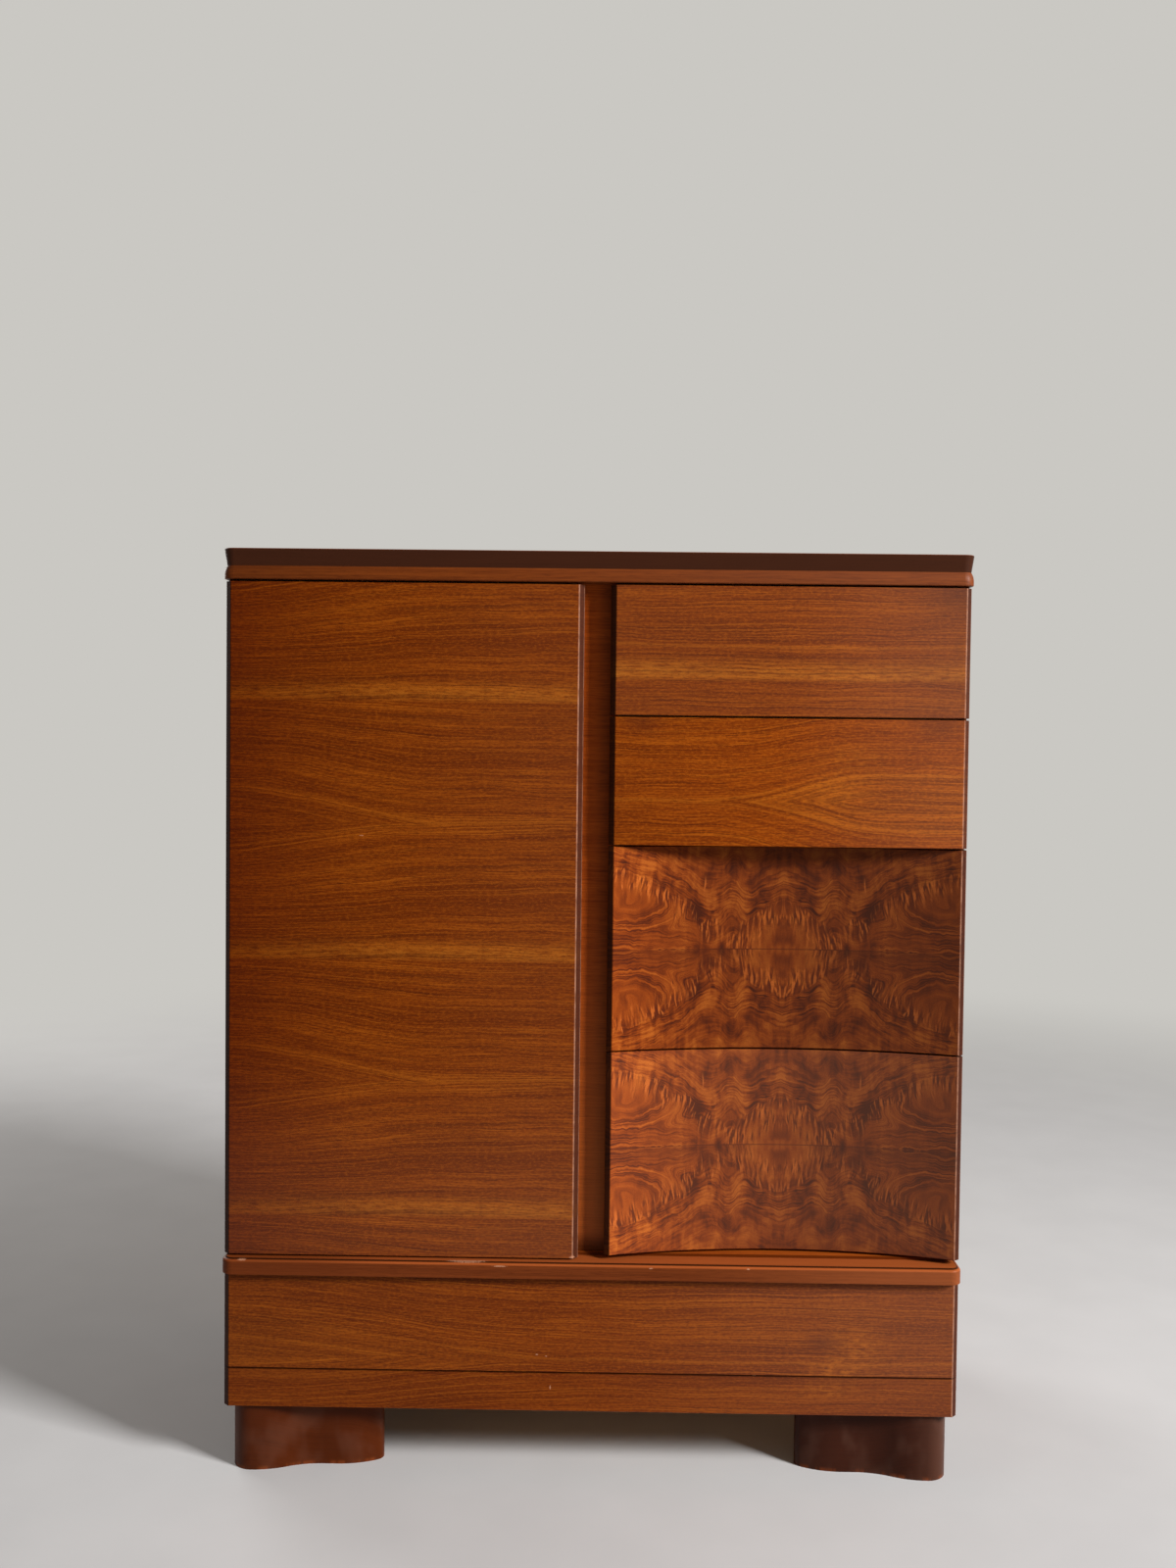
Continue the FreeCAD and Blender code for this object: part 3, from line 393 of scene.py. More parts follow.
def walnut_veneer(name, node, seed, tip, opens=-1, spread=(34.0, 4.0, 200.0), gold=None,
                  leaf=None, scale=1.0, sides=(1.0, 1.0), painted_sheen=(0.0, 0.0, 0.0), heart=0.0,
                  score=None, eye=None, figure=(), stains=(), chips=()):
    """Flat-cut walnut with its grain running sideways.

    tip: the tip of the cathedral, whose Vs open to a side (opens) and spread as it says there
    gold, leaf: height of a golden band, and of a leaf of veneer where leaves repeat upwards
    scale, sides: how light the wood is, and its two ends beside the rest
    painted_sheen: how much painted sheen, a greyish veil standing in for reflections, lies at the
    left, at the right and (added) at the foot
    heart: how golden the wood within the Vs is
    score: height of a scored line
    eye, figure, stains, chips: closed rings within the Vs, and golden, darkened and rubbed places,
        each (x, z, half its width, half its height)
    """
    s = Shader(name)
    dark, middle, light = tones(scale, WALNUT)
    x, y, place_z = s.position()
    z = place_z
    tip_x, tip_z = tip
    if leaf:
        low = gold - GOLD_OVER_JOINT
        z = s.add(s.math("FLOORED_MODULO", s.sub(z, low), leaf), low)
    sway = s.swing(s.noise((x, 190), (z, 70), seed, 2.0), 18.0)
    up = s.add(s.sub(z, tip_z), sway)
    across = cathedral(s, x, up, tip_x, opens, *spread)
    streaks, threads, pores = fibre(s, x, s.add(across, s.mul(up, 0.12)), seed, up)
    colour = s.ramp(streaks, (0.39, dark), (0.50, middle), (0.62, light))
    colour = v_lines(s, colour, x, up, across, tip_x, opens, seed, heart,
                     crisp=0.5 if eye else 0.16)
    if eye:
        colour = closed_rings(s, colour, x, s.add(z, sway), *eye)
    if gold is not None:
        colour = golden_band(s, colour, x, z, gold, seed, share=0.6 if leaf else 0.75)
    patchy = s.step(s.noise((x, 12), (z, 6.0), seed + 41, 3.0, 0.6), 0.42, 0.66, 0.1, 0.7)
    for place in figure:
        colour = s.mix(s.mul(s.spot(x, z, *place), patchy), colour, WALNUT_GOLD)
    tone = s.noise((x, 260), (z, 45), seed + 17, 2.0)
    colour = s.mix(s.step(tone, 0.42, 0.68, 0.0, 0.35), colour, dark)
    colour = s.mix(s.step(threads, 0.57, 0.68, 0.0, 0.40), colour, WALNUT_GOLD)
    colour = s.mix(s.step(threads, 0.42, 0.30, 0.0, 0.55), colour, WALNUT_DEEP)
    fleck = s.noise((x, 5.5), (z, 2.4), seed + 61, 2.0, 0.6)
    colour = s.mix(s.step(fleck, 0.50, 0.66, 0.0, 0.42), colour, light)
    colour = s.mix(s.step(fleck, 0.50, 0.34, 0.0, 0.45), colour, dark)
    for place in stains:
        colour = s.mix(s.mul(s.spot(x, place_z, *place), 0.45), colour, STAIN)
    colour = s.mix(s.mul(pores, 0.45), colour, WALNUT_DEEP)
    x0, x1 = span(node, X)
    colour = grade(s, colour, x, (x0, sides[0]), (0.6 * x0 + 0.4 * x1, 1.0),
                   (0.3 * x0 + 0.7 * x1, 1.0), (x1, sides[1]))
    low, high = span(node, Z)
    # Painted sheen towards the right end and the foot, standing in for reflections.
    left, right, foot = painted_sheen
    dullness_and_sheen = s.add(s.step(x, 0.6 * x0 + 0.4 * x1, x1, left, right),
                 s.step(place_z, 0.65 * low + 0.35 * high, low, 0.0, foot))
    colour = s.mix(dullness_and_sheen, colour, SHEEN_PAINT)
    if score is not None:
        colour = s.mix(s.step(place_z, score + 1.0, score - 1.0, 0.0, 0.2), colour, dark)
        colour = s.mix(s.bump_at(place_z, score, 2.2), colour, NEAR_BLACK)
    colour = dress_edges(s, colour, node, x, y, place_z)
    if chips:
        colour = wear(s, colour, x, place_z, *chips)
    roughness = s.step(streaks, 0.3, 0.7, 0.48, 0.40)
    return s.finish(colour, roughness, s.sub(streaks, s.mul(pores, 0.4)), VENEER_RELIEF,
                    gloss=VENEER_GLOSS)


def straight_walnut(name, seed, along, tint):
    """Stained walnut with straight grain along an axis. Returns (shader, colour, streaks)."""
    s = Shader(name)
    dark, light = (srgb(*rgb) for rgb in tint)
    place = s.position()
    length = place.pop(along)
    warp = s.mul(s.noise((length, 200), (place[0], 50), seed, 2.0), 8.0)
    across = s.add(s.add(place[0], s.mul(place[1], 0.83)), warp)
    streaks, threads, pores = fibre(s, length, across, seed)
    colour = s.ramp(streaks, (0.36, dark), (0.62, light))
    colour = s.mix(s.step(threads, 0.42, 0.30, 0.0, 0.4), colour, dark)
    return s, s.mix(s.mul(pores, 0.35), colour, WALNUT_DEEP), streaks


def lacquered(s, colour, streaks):
    """Satin lacquer, with the streaks as a slight relief."""
    return s.finish(colour, s.step(streaks, 0.3, 0.7, 0.44, 0.36), streaks, WALNUT_RELIEF)


def plain_walnut(name, seed, along, tint):
    return lacquered(*straight_walnut(name, seed, along, tint))


def rim_walnut():
    """Moulded rim under the top: it darkens towards the left, and has a painted sheen towards the
    right end.
    """
    s, colour, streaks = straight_walnut("rim_walnut", 5.0, X, RIM)
    x, _, _ = s.position()
    end = mm("rim_rail_front", X, 1)
    colour = grade(s, colour, x, (-end, 0.65), (-0.2 * end, 0.92), (end, 1.06))
    # Painted sheen towards the right end.
    colour = s.mix(s.step(x, -0.5 * end, end, 0.0, 0.04), colour, SHEEN_PAINT)
    return lacquered(s, colour, streaks)


def channel_walnut():
    """Back of the finger channel: painted light beside the door, painted shadow beside the
    drawers, lighter towards its foot, and painted shadow at the very bottom.
    """
    s, colour, streaks = straight_walnut("channel_walnut", 19.0, X, CHANNEL)
    x, _, z = s.position()
    # Painted light on the left, painted shadow from the drawer fronts on the right.
    colour = grade(s, colour, x, (-18.0, 1.38), (-4.0, 1.2), (10.0, 0.8), (18.0, 0.7))
    low, high = span("channel_board", Z)
    foot = s.step(z, 0.4 * low + 0.6 * high, low)
    colour = s.mix(s.mul(foot, 0.4), colour, CHANNEL_PALE)
    # Painted shadow at the bottom of the channel.
    colour = s.mix(s.step(z, low + 30.0, low + 4.0, 0.0, 0.7), colour, NEAR_BLACK)
    return lacquered(s, colour, streaks)


def foot_walnut(name, tint):
    """Feet: smooth dark stain with hardly any grain, more shine than the fronts, painted sheen in
    soft patches and at the right end, and rubbed bottom edges.
    """
    s, colour, streaks = straight_walnut(name, 21.0, X, tint)
    x, y, z = s.position()
    cloud = s.noise((x, 50), (z, 70), 3.0, 2.0)
    colour = s.mix(s.step(cloud, 0.35, 0.65, 0.35, 0.75), colour, srgb(*tint[1]))
    colour = grade(s, colour, x, (-508.0, 0.70), (-440.0, 0.90), (-330.0, 0.98), (508.0, 0.96))
    # Painted sheen at the right end of the right foot, and in soft patches.
    colour = s.mix(s.step(x, 440.0, 500.0, 0.0, 0.055), colour, SHEEN_PAINT)
    dullness_and_sheen = s.noise((x, 38), (z, 60), (y, 38), 2.0, 0.5)
    colour = s.mix(s.step(dullness_and_sheen, 0.44, 0.68, 0.0, 0.035), colour, SHEEN_PAINT)
    ragged = s.noise((x, 14), (y, 14), 31.0, 3.0, 0.6)
    rubbed = s.mul(s.step(z, 7.0, 1.0), s.step(ragged, 0.42, 0.62))
    colour = s.mix(s.mul(rubbed, 0.35), colour, FOOT_WORN)
    return s.finish(colour, 0.33, streaks, FOOT_RELIEF)


def top_walnut():
    """Top board: its undercut edge is much darker than its upper face."""
    s, colour, streaks = straight_walnut("top_walnut", 3.0, X, TOP)
    _, _, z = s.position()
    upper = mm("top_board", Z, 1)
    edge = s.mix(streaks, *(srgb(*rgb) for rgb in TOP_EDGE))
    colour = s.mix(s.step(z, upper - 0.4, upper - 1.0), colour, edge)
    return lacquered(s, colour, streaks)


def waist_walnut():
    """Waist rails: orange upper face lighter with painted light, a darkened step, and chips and
    rubs on the rounding along the front; darker towards the left, painted sheen towards the right.
    """
    s, colour, streaks = straight_walnut("waist_walnut", 8.0, X, WAIST)
    x, y, z = s.position()
    upper = mm("waist_rail_front", Z, 1)
    # Painted sheen towards the right end.
    colour = s.mix(s.step(x, 100.0, 500.0, 0.0, 0.45), colour, WAIST_RIGHT_SHEEN)
    # Painted light on the upper face.
    bright = s.mix(streaks, *(srgb(*rgb) for rgb in WAIST_UPPER_LIT))
    colour = s.mix(s.step(z, upper - 5.0, upper - 3.0, 0.0, 0.8), colour, bright)
    colour = s.mix(s.step(x, -250.0, -420.0, 0.0, 0.6), colour, WAIST_LEFT)
    # The step, darkened nearly black.
    dark_step = s.mul(s.step(z, upper - 1.9, upper - 1.4), s.step(z, upper, upper - 0.3))
    colour = s.mix(s.mul(dark_step, 0.92), colour, NEAR_BLACK)
    wear_and_highlight = wear(s, colour, x, z, (-170.0, 303.5, 60.0, 3.0), (-125.0, 299.0, 22.0, 2.2),
                (83.0, 299.0, 6.0, 2.4), (216.0, 300.0, 5.0, 2.4), (-480.0, 302.0, 14.0, 1.8))
    front = mm("waist_rail_front", Y, 0)
    colour = s.mix(s.step(y, front + 9.0, front + 5.0), colour, wear_and_highlight)
    return lacquered(s, colour, streaks)


def floor_walnut():
    """Case bottom: darkened front edge, then the upper face."""
    s, colour, streaks = straight_walnut("case_bottom_walnut", 17.0, X, CASE_BOTTOM)
    _, y, _ = s.position()
    front = mm("case_bottom", Y, 0)
    colour = s.mix(s.step(y, front + 2.5, front + 0.5, 0.0, 0.8), colour, WALNUT_DEEP)
    return lacquered(s, colour, streaks)


# ---------------------------------------------------------------- burl
BURL = ((58, 19, 4), (88, 33, 4), (114, 48, 7), (146, 74, 20))   # from dark to light
BURL_SHADE = srgb(66, 22, 6)
BURL_GLINT = srgb(180, 94, 36)

# Soft dark and light places on a leaf pair: distance from the middle, height from the seam, half
# width, half height, and how much darker (or, below 0, lighter).
BURL_PLACES = (
    (20, 118, 46, 26, 0.45), (108, 94, 15, 26, 0.75), (116, 46, 17, 24, 0.6),
    (232, 126, 24, 18, 0.6), (50, 4, 15, 34, 0.75), (138, -42, 26, 20, 0.55),
    (112, -98, 25, 24, 0.6), (76, -58, 17, 22, 0.5), (0, -92, 14, 40, 0.4),
    (92, -16, 26, 22, 0.45), (190, 132, 30, 14, 0.3), (205, -112, 26, 18, 0.4),
    (196, 92, 34, 20, -0.4), (92, 62, 30, 14, -0.35), (150, 116, 26, 20, -0.4),
    (61, -50, 10, 24, -0.5), (108, -64, 26, 14, -0.35), (30, -118, 22, 20, -0.25))

# A wavy ridge runs over the middle, down beside it, then out to the corners. The growth lines
# that drape over it follow a softer line. Points are (distance from the middle, from the seam).
RIDGE = ((0, 69), (14, 64), (30, 55), (46, 45), (58, 33), (67, 22), (76, 26), (86, 38), (96, 44),
         (106, 42), (113, 39), (120, 52), (128, 69), (152, 77), (170, 90), (203, 105), (226, 112),
         (260, 120))
SOFT_RIDGE = ((0, 80), (30, 72), (54, 64), (69, 80), (90, 66), (113, 70), (130, 80), (147, 88),
              (168, 102), (196, 112), (226, 119), (260, 124))
BOWL_U, BOWL_V = 212.0, 68.0          # middle of the nested bowls
BOWL_WIDE, BOWL_DEEP = 68.0, 40.0     # half width and depth of the outermost
BOWL_SPACING = 4.0
STROKES = ((4.0, 20.0, 1.6, 1.0), (7.4, 30.0, 2.5, 0.7))   # width, length, relief offset, share


def nested_bowls(s, u, v, warp_u, warp_v, ridge):
    """Bowls between the outer part of the ridge and the seam.

    Returns their pattern, how strongly it shows, and where it takes the place of the drape.
    """
    side = s.mul(s.add(s.sub(u, BOWL_U), s.mul(warp_u, 0.8)), 1 / BOWL_WIDE)
    down = s.sub(BOWL_V, s.add(v, s.mul(warp_v, 0.6)))
    down = s.mul(s.math("MAXIMUM", down, 0.0), 1 / BOWL_DEEP)
    bowl = s.math("SQRT", s.add(s.mul(side, side), s.mul(down, down)))
    level = s.add(down, s.mul(side, 0.12))
    bowl = s.add(bowl, s.mul(s.sub(level, bowl), s.step(bowl, 0.95, 1.4)))
    rings = s.noise((bowl, BOWL_SPACING / BOWL_DEEP), (u, 160), 4.0, 3.0, 0.6)
    swirl = s.mul(s.step(u, 112.0, 142.0), s.step(s.sub(v, ridge), 2.0, -16.0))
    ringed = s.mul(swirl, s.mul(s.step(bowl, 0.2, 0.8, 0.15, 1.0), s.step(v, 96.0, 70.0)))
    return rings, ringed, swirl


def flames(s, u, v, height, ridge, seed):
    """Flames that hang below the ridge. Returns their dark sides and their bright ones."""
    ragged = s.swing(s.noise((u, 6), 0.0, 3.3 + seed, 1.0), 20.0)
    below = s.add(s.sub(ridge, v), ragged)
    length = s.step(s.noise((u, 6), 5.0, seed, 1.0), 0.3, 0.7, 14.0, 40.0)
    length = s.add(length, s.step(u, 68.0, 54.0, 0.0, 10.0))
    where = s.mul(s.step(below, -1.0, 4.0), s.step(s.sub(below, length), 6.0, -14.0))
    flank = s.mul(s.bump_at(u, 52.0, 17.0), s.step(v, 46.0, 30.0))
    uneven = s.noise((u, 16), (height, 20), 2.6 + seed, 2.0)
    where = s.mul(s.math("MAXIMUM", where, flank), s.step(uneven, 0.38, 0.60, 0.3, 1.0))
    lean = s.add(u, s.mul(v, 0.14))
    relief = 0.0
    for width, tall, offset, share in STROKES:
        stroke, beside = (s.noise((s.add(lean, shift), width), (v, tall), 6.3, 1.0, 0.4, 0.2)
                          for shift in (0.0, offset))
        relief = s.add(relief, s.mul(s.sub(stroke, beside), share))
    relief = s.mul(relief, s.step(height, -0.6, 0.6, -1.0, 1.0))   # upper leaves: other face
    return (s.mul(s.step(relief, 0.01, 0.10), where),
            s.mul(s.step(relief, -0.02, -0.12), where))


def burl_veneer(name, node, seam, seed, scale, sides, painted_sheen):
    """Book-matched burl: four leaves mirrored about the front's middle and about a seam.

    seam is its height, scale says how light the wood is, sides how much painted light and painted
    shade its two ends get, and painted_sheen how much painted sheen lies at the two ends.
    """
    s = Shader(name)
    x, y, z = s.position()
    x0, x1 = span(node, X)
    middle = (x0 + x1) / 2
    dark, brown, mid, light = tones(scale, BURL)

    # Distances from the two mirror lines. The leaves don't match quite exactly.
    drift_u = s.swing(s.noise((x, 70), (z, 70), 1.7 + seed, 2.0), 14.0)
    drift_v = s.swing(s.noise((x, 70), (z, 70), 5.7 + seed, 2.0), 16.0)
    u = s.math("ABSOLUTE", s.add(s.math("ABSOLUTE", s.sub(x, middle)), drift_u))
    height = s.sub(z, seam)
    v = s.math("ABSOLUTE", s.add(s.math("ABSOLUTE", height), drift_v))
    warp_u = s.swing(s.noise((u, 30), (v, 26), 3.1, 3.0), 28.0)
    warp_v = s.swing(s.noise((u, 26), (v, 32), 9.7, 3.0), 32.0)

    # Growth: the drape, which fades away from the ridge, and the bowls.
    ridge = s.curve(u, RIDGE)
    above = s.add(s.sub(v, s.curve(u, SOFT_RIDGE)), s.mul(warp_v, 0.6))
    drape = s.noise((s.add(u, warp_u), 34), (above, 3.6), 2.0, 3.0, 0.6)
    drape = s.swing(drape, s.step(s.math("ABSOLUTE", above), 40.0, 8.0, 0.3, 0.8))
    rings, ringed, swirl = nested_bowls(s, u, v, warp_u, warp_v, ridge)
    core = s.mul(s.step(u, 66.0, 56.0), s.step(s.sub(v, ridge), 2.0, -8.0))
    flat = s.sub(1.0, swirl)
    growth = s.add(s.mul(drape, s.mul(flat, s.sub(1.0, core))), s.swing(rings, ringed))
    tone = s.add(0.5, s.mul(growth, 0.60))

    # Clouds, curl, and the soft places.
    clouds = s.noise((s.add(u, warp_u), 32), (s.add(v, warp_v), 40), 12.4, 3.0, 0.55)
    tone = s.add(tone, s.swing(clouds, s.add(0.17, s.mul(flat, 0.20))))
    curl = s.noise((s.add(u, s.mul(warp_u, 0.25)), 7), (v, 36), 7.1, 2.0, 0.5)
    tone = s.add(tone, s.swing(curl, s.add(0.04, s.mul(flat, 0.10))))
    spot_u = s.add(u, s.mul(warp_u, 0.5))
    spot_height = s.add(height, s.mul(warp_v, 0.4))
    for *place, darker in BURL_PLACES:
        tone = s.add(tone, s.mul(s.spot(spot_u, spot_height, *place), -0.075 * darker))

    shade, glint = flames(s, u, v, height, ridge, seed)
    colour = s.ramp(tone, (0.40, dark), (0.455, brown), (0.505, mid), (0.60, light))
    thin = s.mul(s.step(rings, 0.42, 0.34), ringed)
    colour = s.mix(s.mul(thin, 0.75), colour, BURL_SHADE)
    colour = s.mix(s.mul(shade, 0.88), colour, BURL_SHADE)
    colour = s.mix(s.mul(glint, 0.5), colour, BURL_GLINT)
    line = s.spot(u, height, 110.0, 90.0, 1.8, 15.0)
    colour = s.mix(s.mul(line, 0.6), colour, BURL_GLINT)

    # Dusk under the seam, the joint itself, and pores.
    dusk = s.mul(s.step(height, -34.0, -0.5), s.step(height, 0.5, -0.5))
    colour = s.mix(s.mul(s.mul(dusk, s.step(u, 40.0, 60.0)), 0.35), colour, dark)
    joint = s.mul(s.bump_at(height, 0.0, 1.3), s.step(u, 150.0, 110.0, 0.25, 0.7))
    colour = s.mix(joint, colour, dark)
    pores = s.noise((x, 1.8), (z, 1.3), 8.0, 2.0)
    colour = s.mix(s.step(pores, 0.50, 0.75, 0.0, 0.4), colour, dark)
    # Painted light towards the left end and painted shade towards the right, where the hollow
    # front turns towards the light and away from it; then painted sheen growing to the right.
    left, right = sides
    colour = grade(s, colour, x, (x0, left), (middle - 110.0, 1.08), (middle + 60.0, right),
                   (x1, right))
    colour = s.mix(s.step(x, x0, x1, *painted_sheen), colour, SHEEN_PAINT)
    colour = dress_edges(s, colour, node, x, y, z)
    return s.finish(colour, 0.46, s.add(tone, s.mul(shade, -0.3)), BURL_RELIEF,
                    gloss=VENEER_GLOSS)


# ---------------------------------------------------------------- other woods and metals
GUM = ((156, 110, 68), (194, 150, 102))         # dark and light, as 8-bit sRGB, like the next
MAPLE = ((178, 142, 98), (210, 178, 134))
PLYWOOD = ((160, 122, 80), (196, 158, 112))
BACK_PLYWOOD = ((156, 106, 58), (192, 142, 88))
BRASS = ((120, 84, 42), (196, 152, 84))
PLATED_STEEL = ((120, 112, 100), (176, 172, 164))
TARNISHED_STEEL = ((36, 30, 26), (60, 52, 44))


def bare_wood(name, seed, along, tint):
    """Unfinished secondary wood of drawer boxes and inner boards."""
    s = Shader(name)
    dark, light = (srgb(*rgb) for rgb in tint)
    place = s.position()
    length = place.pop(along)
    warp = s.mul(s.noise((length, 180), (place[1], 40), seed, 2.0), 12.0)
    across = s.add(s.add(s.mul(place[0], 0.9), place[1]), warp)
    streaks, threads, pores = fibre(s, length, across, seed)
    colour = s.ramp(streaks, (0.32, dark), (0.66, light))
    colour = s.mix(s.step(threads, 0.42, 0.30, 0.0, 0.4), colour, dark)
    colour = s.mix(s.mul(pores, 0.25), colour, dark)
    return s.finish(colour, 0.62, streaks, BARE_RELIEF, gloss=BARE_GLOSS)


def metal(name, tint, roughness):
    """Aged metal with blotchy tarnish, duller where it is dark."""
    s = Shader(name)
    dark, light = (srgb(*rgb) for rgb in tint)
    x, _, z = s.position()
    blotch = s.noise((x, 6), (z, 6), 1.0, 4.0, 0.6)
    colour = s.ramp(blotch, (0.35, dark), (0.65, light))
    dullness_and_sheen = s.step(blotch, 0.3, 0.7, roughness + 0.15, roughness)
    return s.finish(colour, dullness_and_sheen, blotch, METAL_RELIEF, metallic=1.0)


# ---------------------------------------------------------------- dressing the CAD nodes
def paint(material, *names):
    for name in names:
        mesh = NODES[name].data
        mesh.materials.clear()
        mesh.materials.append(material)


def dress_fronts():
    door = walnut_veneer("door_veneer", "door_panel", 11.0, tip=(-190.0, 905.0),
                         spread=(54.0, 30.0, 330.0), gold=728.0, leaf=355.0, scale=0.85,
                         sides=((0.56, 0.40, 0.1), 0.96), painted_sheen=(0.0, 0.012, 0.03),
                         chips=((-26.0, 308.5, 9.0, 4.0), (-320.0, 888.0, 7.0, 1.2)))
    paint(door, "door_panel")
    first = walnut_veneer("drawer_1_veneer", "drawer_1_front", 23.0, tip=(900.0, 1150.0),
                          gold=1116.0, opens=1, scale=0.89, sides=(0.93, 0.86),
                          painted_sheen=(0.02, 0.07, 0.0), stains=((492.0, 1226.0, 70.0, 60.0),))
    paint(first, "drawer_1_front")
    second = walnut_veneer("drawer_2_veneer", "drawer_2_front", 31.0, tip=(146.0, 940.0), opens=1,
                           spread=(46.0, 44.0, 260.0), scale=1.10, sides=(0.86, 1.0),
                           painted_sheen=(0.0, 0.05, 0.0), heart=0.25, eye=(366.0, 940.0, 58.0, 13.0),
                           figure=((330.0, 962.0, 60.0, 34.0), (352.0, 1000.0, 70.0, 26.0)),
                           stains=((470.0, 1048.0, 60.0, 34.0), (62.0, 1050.0, 40.0, 30.0)))
    paint(second, "drawer_2_front")
    base_foot = mm("base_drawer_front", Z, 0)
    base = walnut_veneer("base_veneer", "base_drawer_front", 47.0, tip=(-60.0, 165.0), opens=-1,
                         spread=(56.0, 34.0, 450.0), scale=0.87, sides=(0.82, 0.90),
                         painted_sheen=(0.01, 0.07, 0.0), heart=0.1, score=base_foot + 54.0,
                         figure=((368.0, 192.0, 60.0, 50.0), (340.0, 158.0, 60.0, 24.0),
                                 (330.0, 128.0, 60.0, 20.0)),
                         stains=((322.0, 196.0, 40.0, 22.0),),
                         chips=((-73.0, 172.0, 4.0, 2.4), (-60.0, 170.0, 3.0, 1.6),
                                (228.0, 147.0, 7.0, 1.6), (-54.0, 126.0, 2.0, 7.0)))
    paint(base, "base_drawer_front")
    # Burl fronts: painted light at the left ends, painted shade and painted sheen at the right
    # ends.
    third = burl_veneer("burl_upper", "drawer_3_front", seam=733.5, seed=0.0, scale=0.90,
                        sides=(1.66, 0.73), painted_sheen=(0.006, 0.026))
    paint(third, "drawer_3_front")
    fourth = burl_veneer("burl_lower", "drawer_4_front", seam=459.0, seed=2.3, scale=1.09,
                         sides=(1.64, 0.66), painted_sheen=(0.04, 0.06))
    paint(fourth, "drawer_4_front")


def dress_case():
    paint(top_walnut(), "top_board")
    paint(rim_walnut(), "rim_rail_front")
    paint(plain_walnut("rim_side_walnut", 6.0, Y, RIM), "rim_rail_left", "rim_rail_right")
    paint(waist_walnut(), "waist_rail_front", "waist_rails_side")
    paint(floor_walnut(), "case_bottom")
    paint(plain_walnut("side_walnut", 14.0, Z, SIDE), "case_side_left", "case_side_right")
    paint(plain_walnut("base_side_walnut", 15.0, Y, SIDE), "base_side_left", "base_side_right")
    paint(channel_walnut(), "channel_board")
    paint(foot_walnut("foot_left_walnut", FOOT_LEFT), "foot_front_left", "foot_rear_left")
    paint(foot_walnut("foot_right_walnut", FOOT_RIGHT), "foot_front_right", "foot_rear_right")


def dress_inside():
    gum = bare_wood("gum", 2.0, Z, GUM)
    across = bare_wood("gum_across", 4.0, X, GUM)
    deep = bare_wood("gum_deep", 6.0, Y, GUM)
    maple = bare_wood("drawer_side_maple", 9.0, Y, MAPLE)
    maple_across = bare_wood("drawer_back_maple", 12.0, X, MAPLE)
    plywood = bare_wood("plywood", 16.0, X, PLYWOOD)
    panel = bare_wood("back_plywood", 18.0, Z, BACK_PLYWOOD)
    paint(gum, "partition_left", "partition_right", "foot_blocks")
    paint(across, "subtop", "drawer_rails", "base_bottom", "rod_brackets")
    paint(deep, "drawer_runners", "base_glides", "hanging_rod")
    paint(panel, "back_panel_wardrobe", "back_panel_drawers", "base_back")
    for name in NODES:
        if name.startswith(("drawer_", "base_drawer_")):
            if "_side_" in name:
                paint(maple, name)
            elif name.endswith("_back"):
                paint(maple_across, name)
            elif name.endswith("_bottom"):
                paint(plywood, name)


def dress_metal():
    brass = metal("aged_brass", BRASS, 0.32)
    steel = metal("plated_steel", PLATED_STEEL, 0.35)
    paint(brass, "hinge_leaves_case", "hinge_leaves_door", "hinge_pins")
    paint(steel, "door_catch", "door_strike")
    dark = metal("tarnished_steel", TARNISHED_STEEL, 0.6)
    return brass, steel, dark


# ---------------------------------------------------------------- screws and panel pins
# All in millimetres. Radii of the heads:
HINGE_SCREW, STRIKE_SCREW, CATCH_SCREW, BRACKET_SCREW, PANEL_PIN = 3.0, 2.4, 2.2, 3.2, 1.4
RING_WIDTH, RING_RISE = 0.35, 0.02    # dark ring round a screw head
HEAD_RISE, HEAD_TAPER = 0.08, 0.97
SLOT_SHARE = 0.15                     # half the slot's width, as a share of the radius
CIRCLE, ARC = 24, 9                   # points round a disc and along half a screw head
BRIGHT, DARK = 0, 1                   # places in the materials of a group of heads

HINGE_LENGTH = 76.0
LEAF_MIDDLE, LEAF_FACE = 10.0, 0.1    # of a hinge leaf, from the pin's axis
LEAF_SCREWS = ((1.6, -26.0), (-1.6, 0.0), (1.6, 26.0))   # from the leaf's middle
STRIKE_PLATE, CATCH_PLATE, BRACKET_PLATE = 0.6, 1.5, 4.0   # thickness under the heads
STRIKE_INSET, CATCH_INSET, BRACKET_INSET = 7.0, 3.5, 15.0   # of the screws, from the ends
BRACKET_SPREAD = 10.0                 # of a bracket's two screws, from its middle
PIN_SPACING, PIN_INSET = 95.0, 4.0


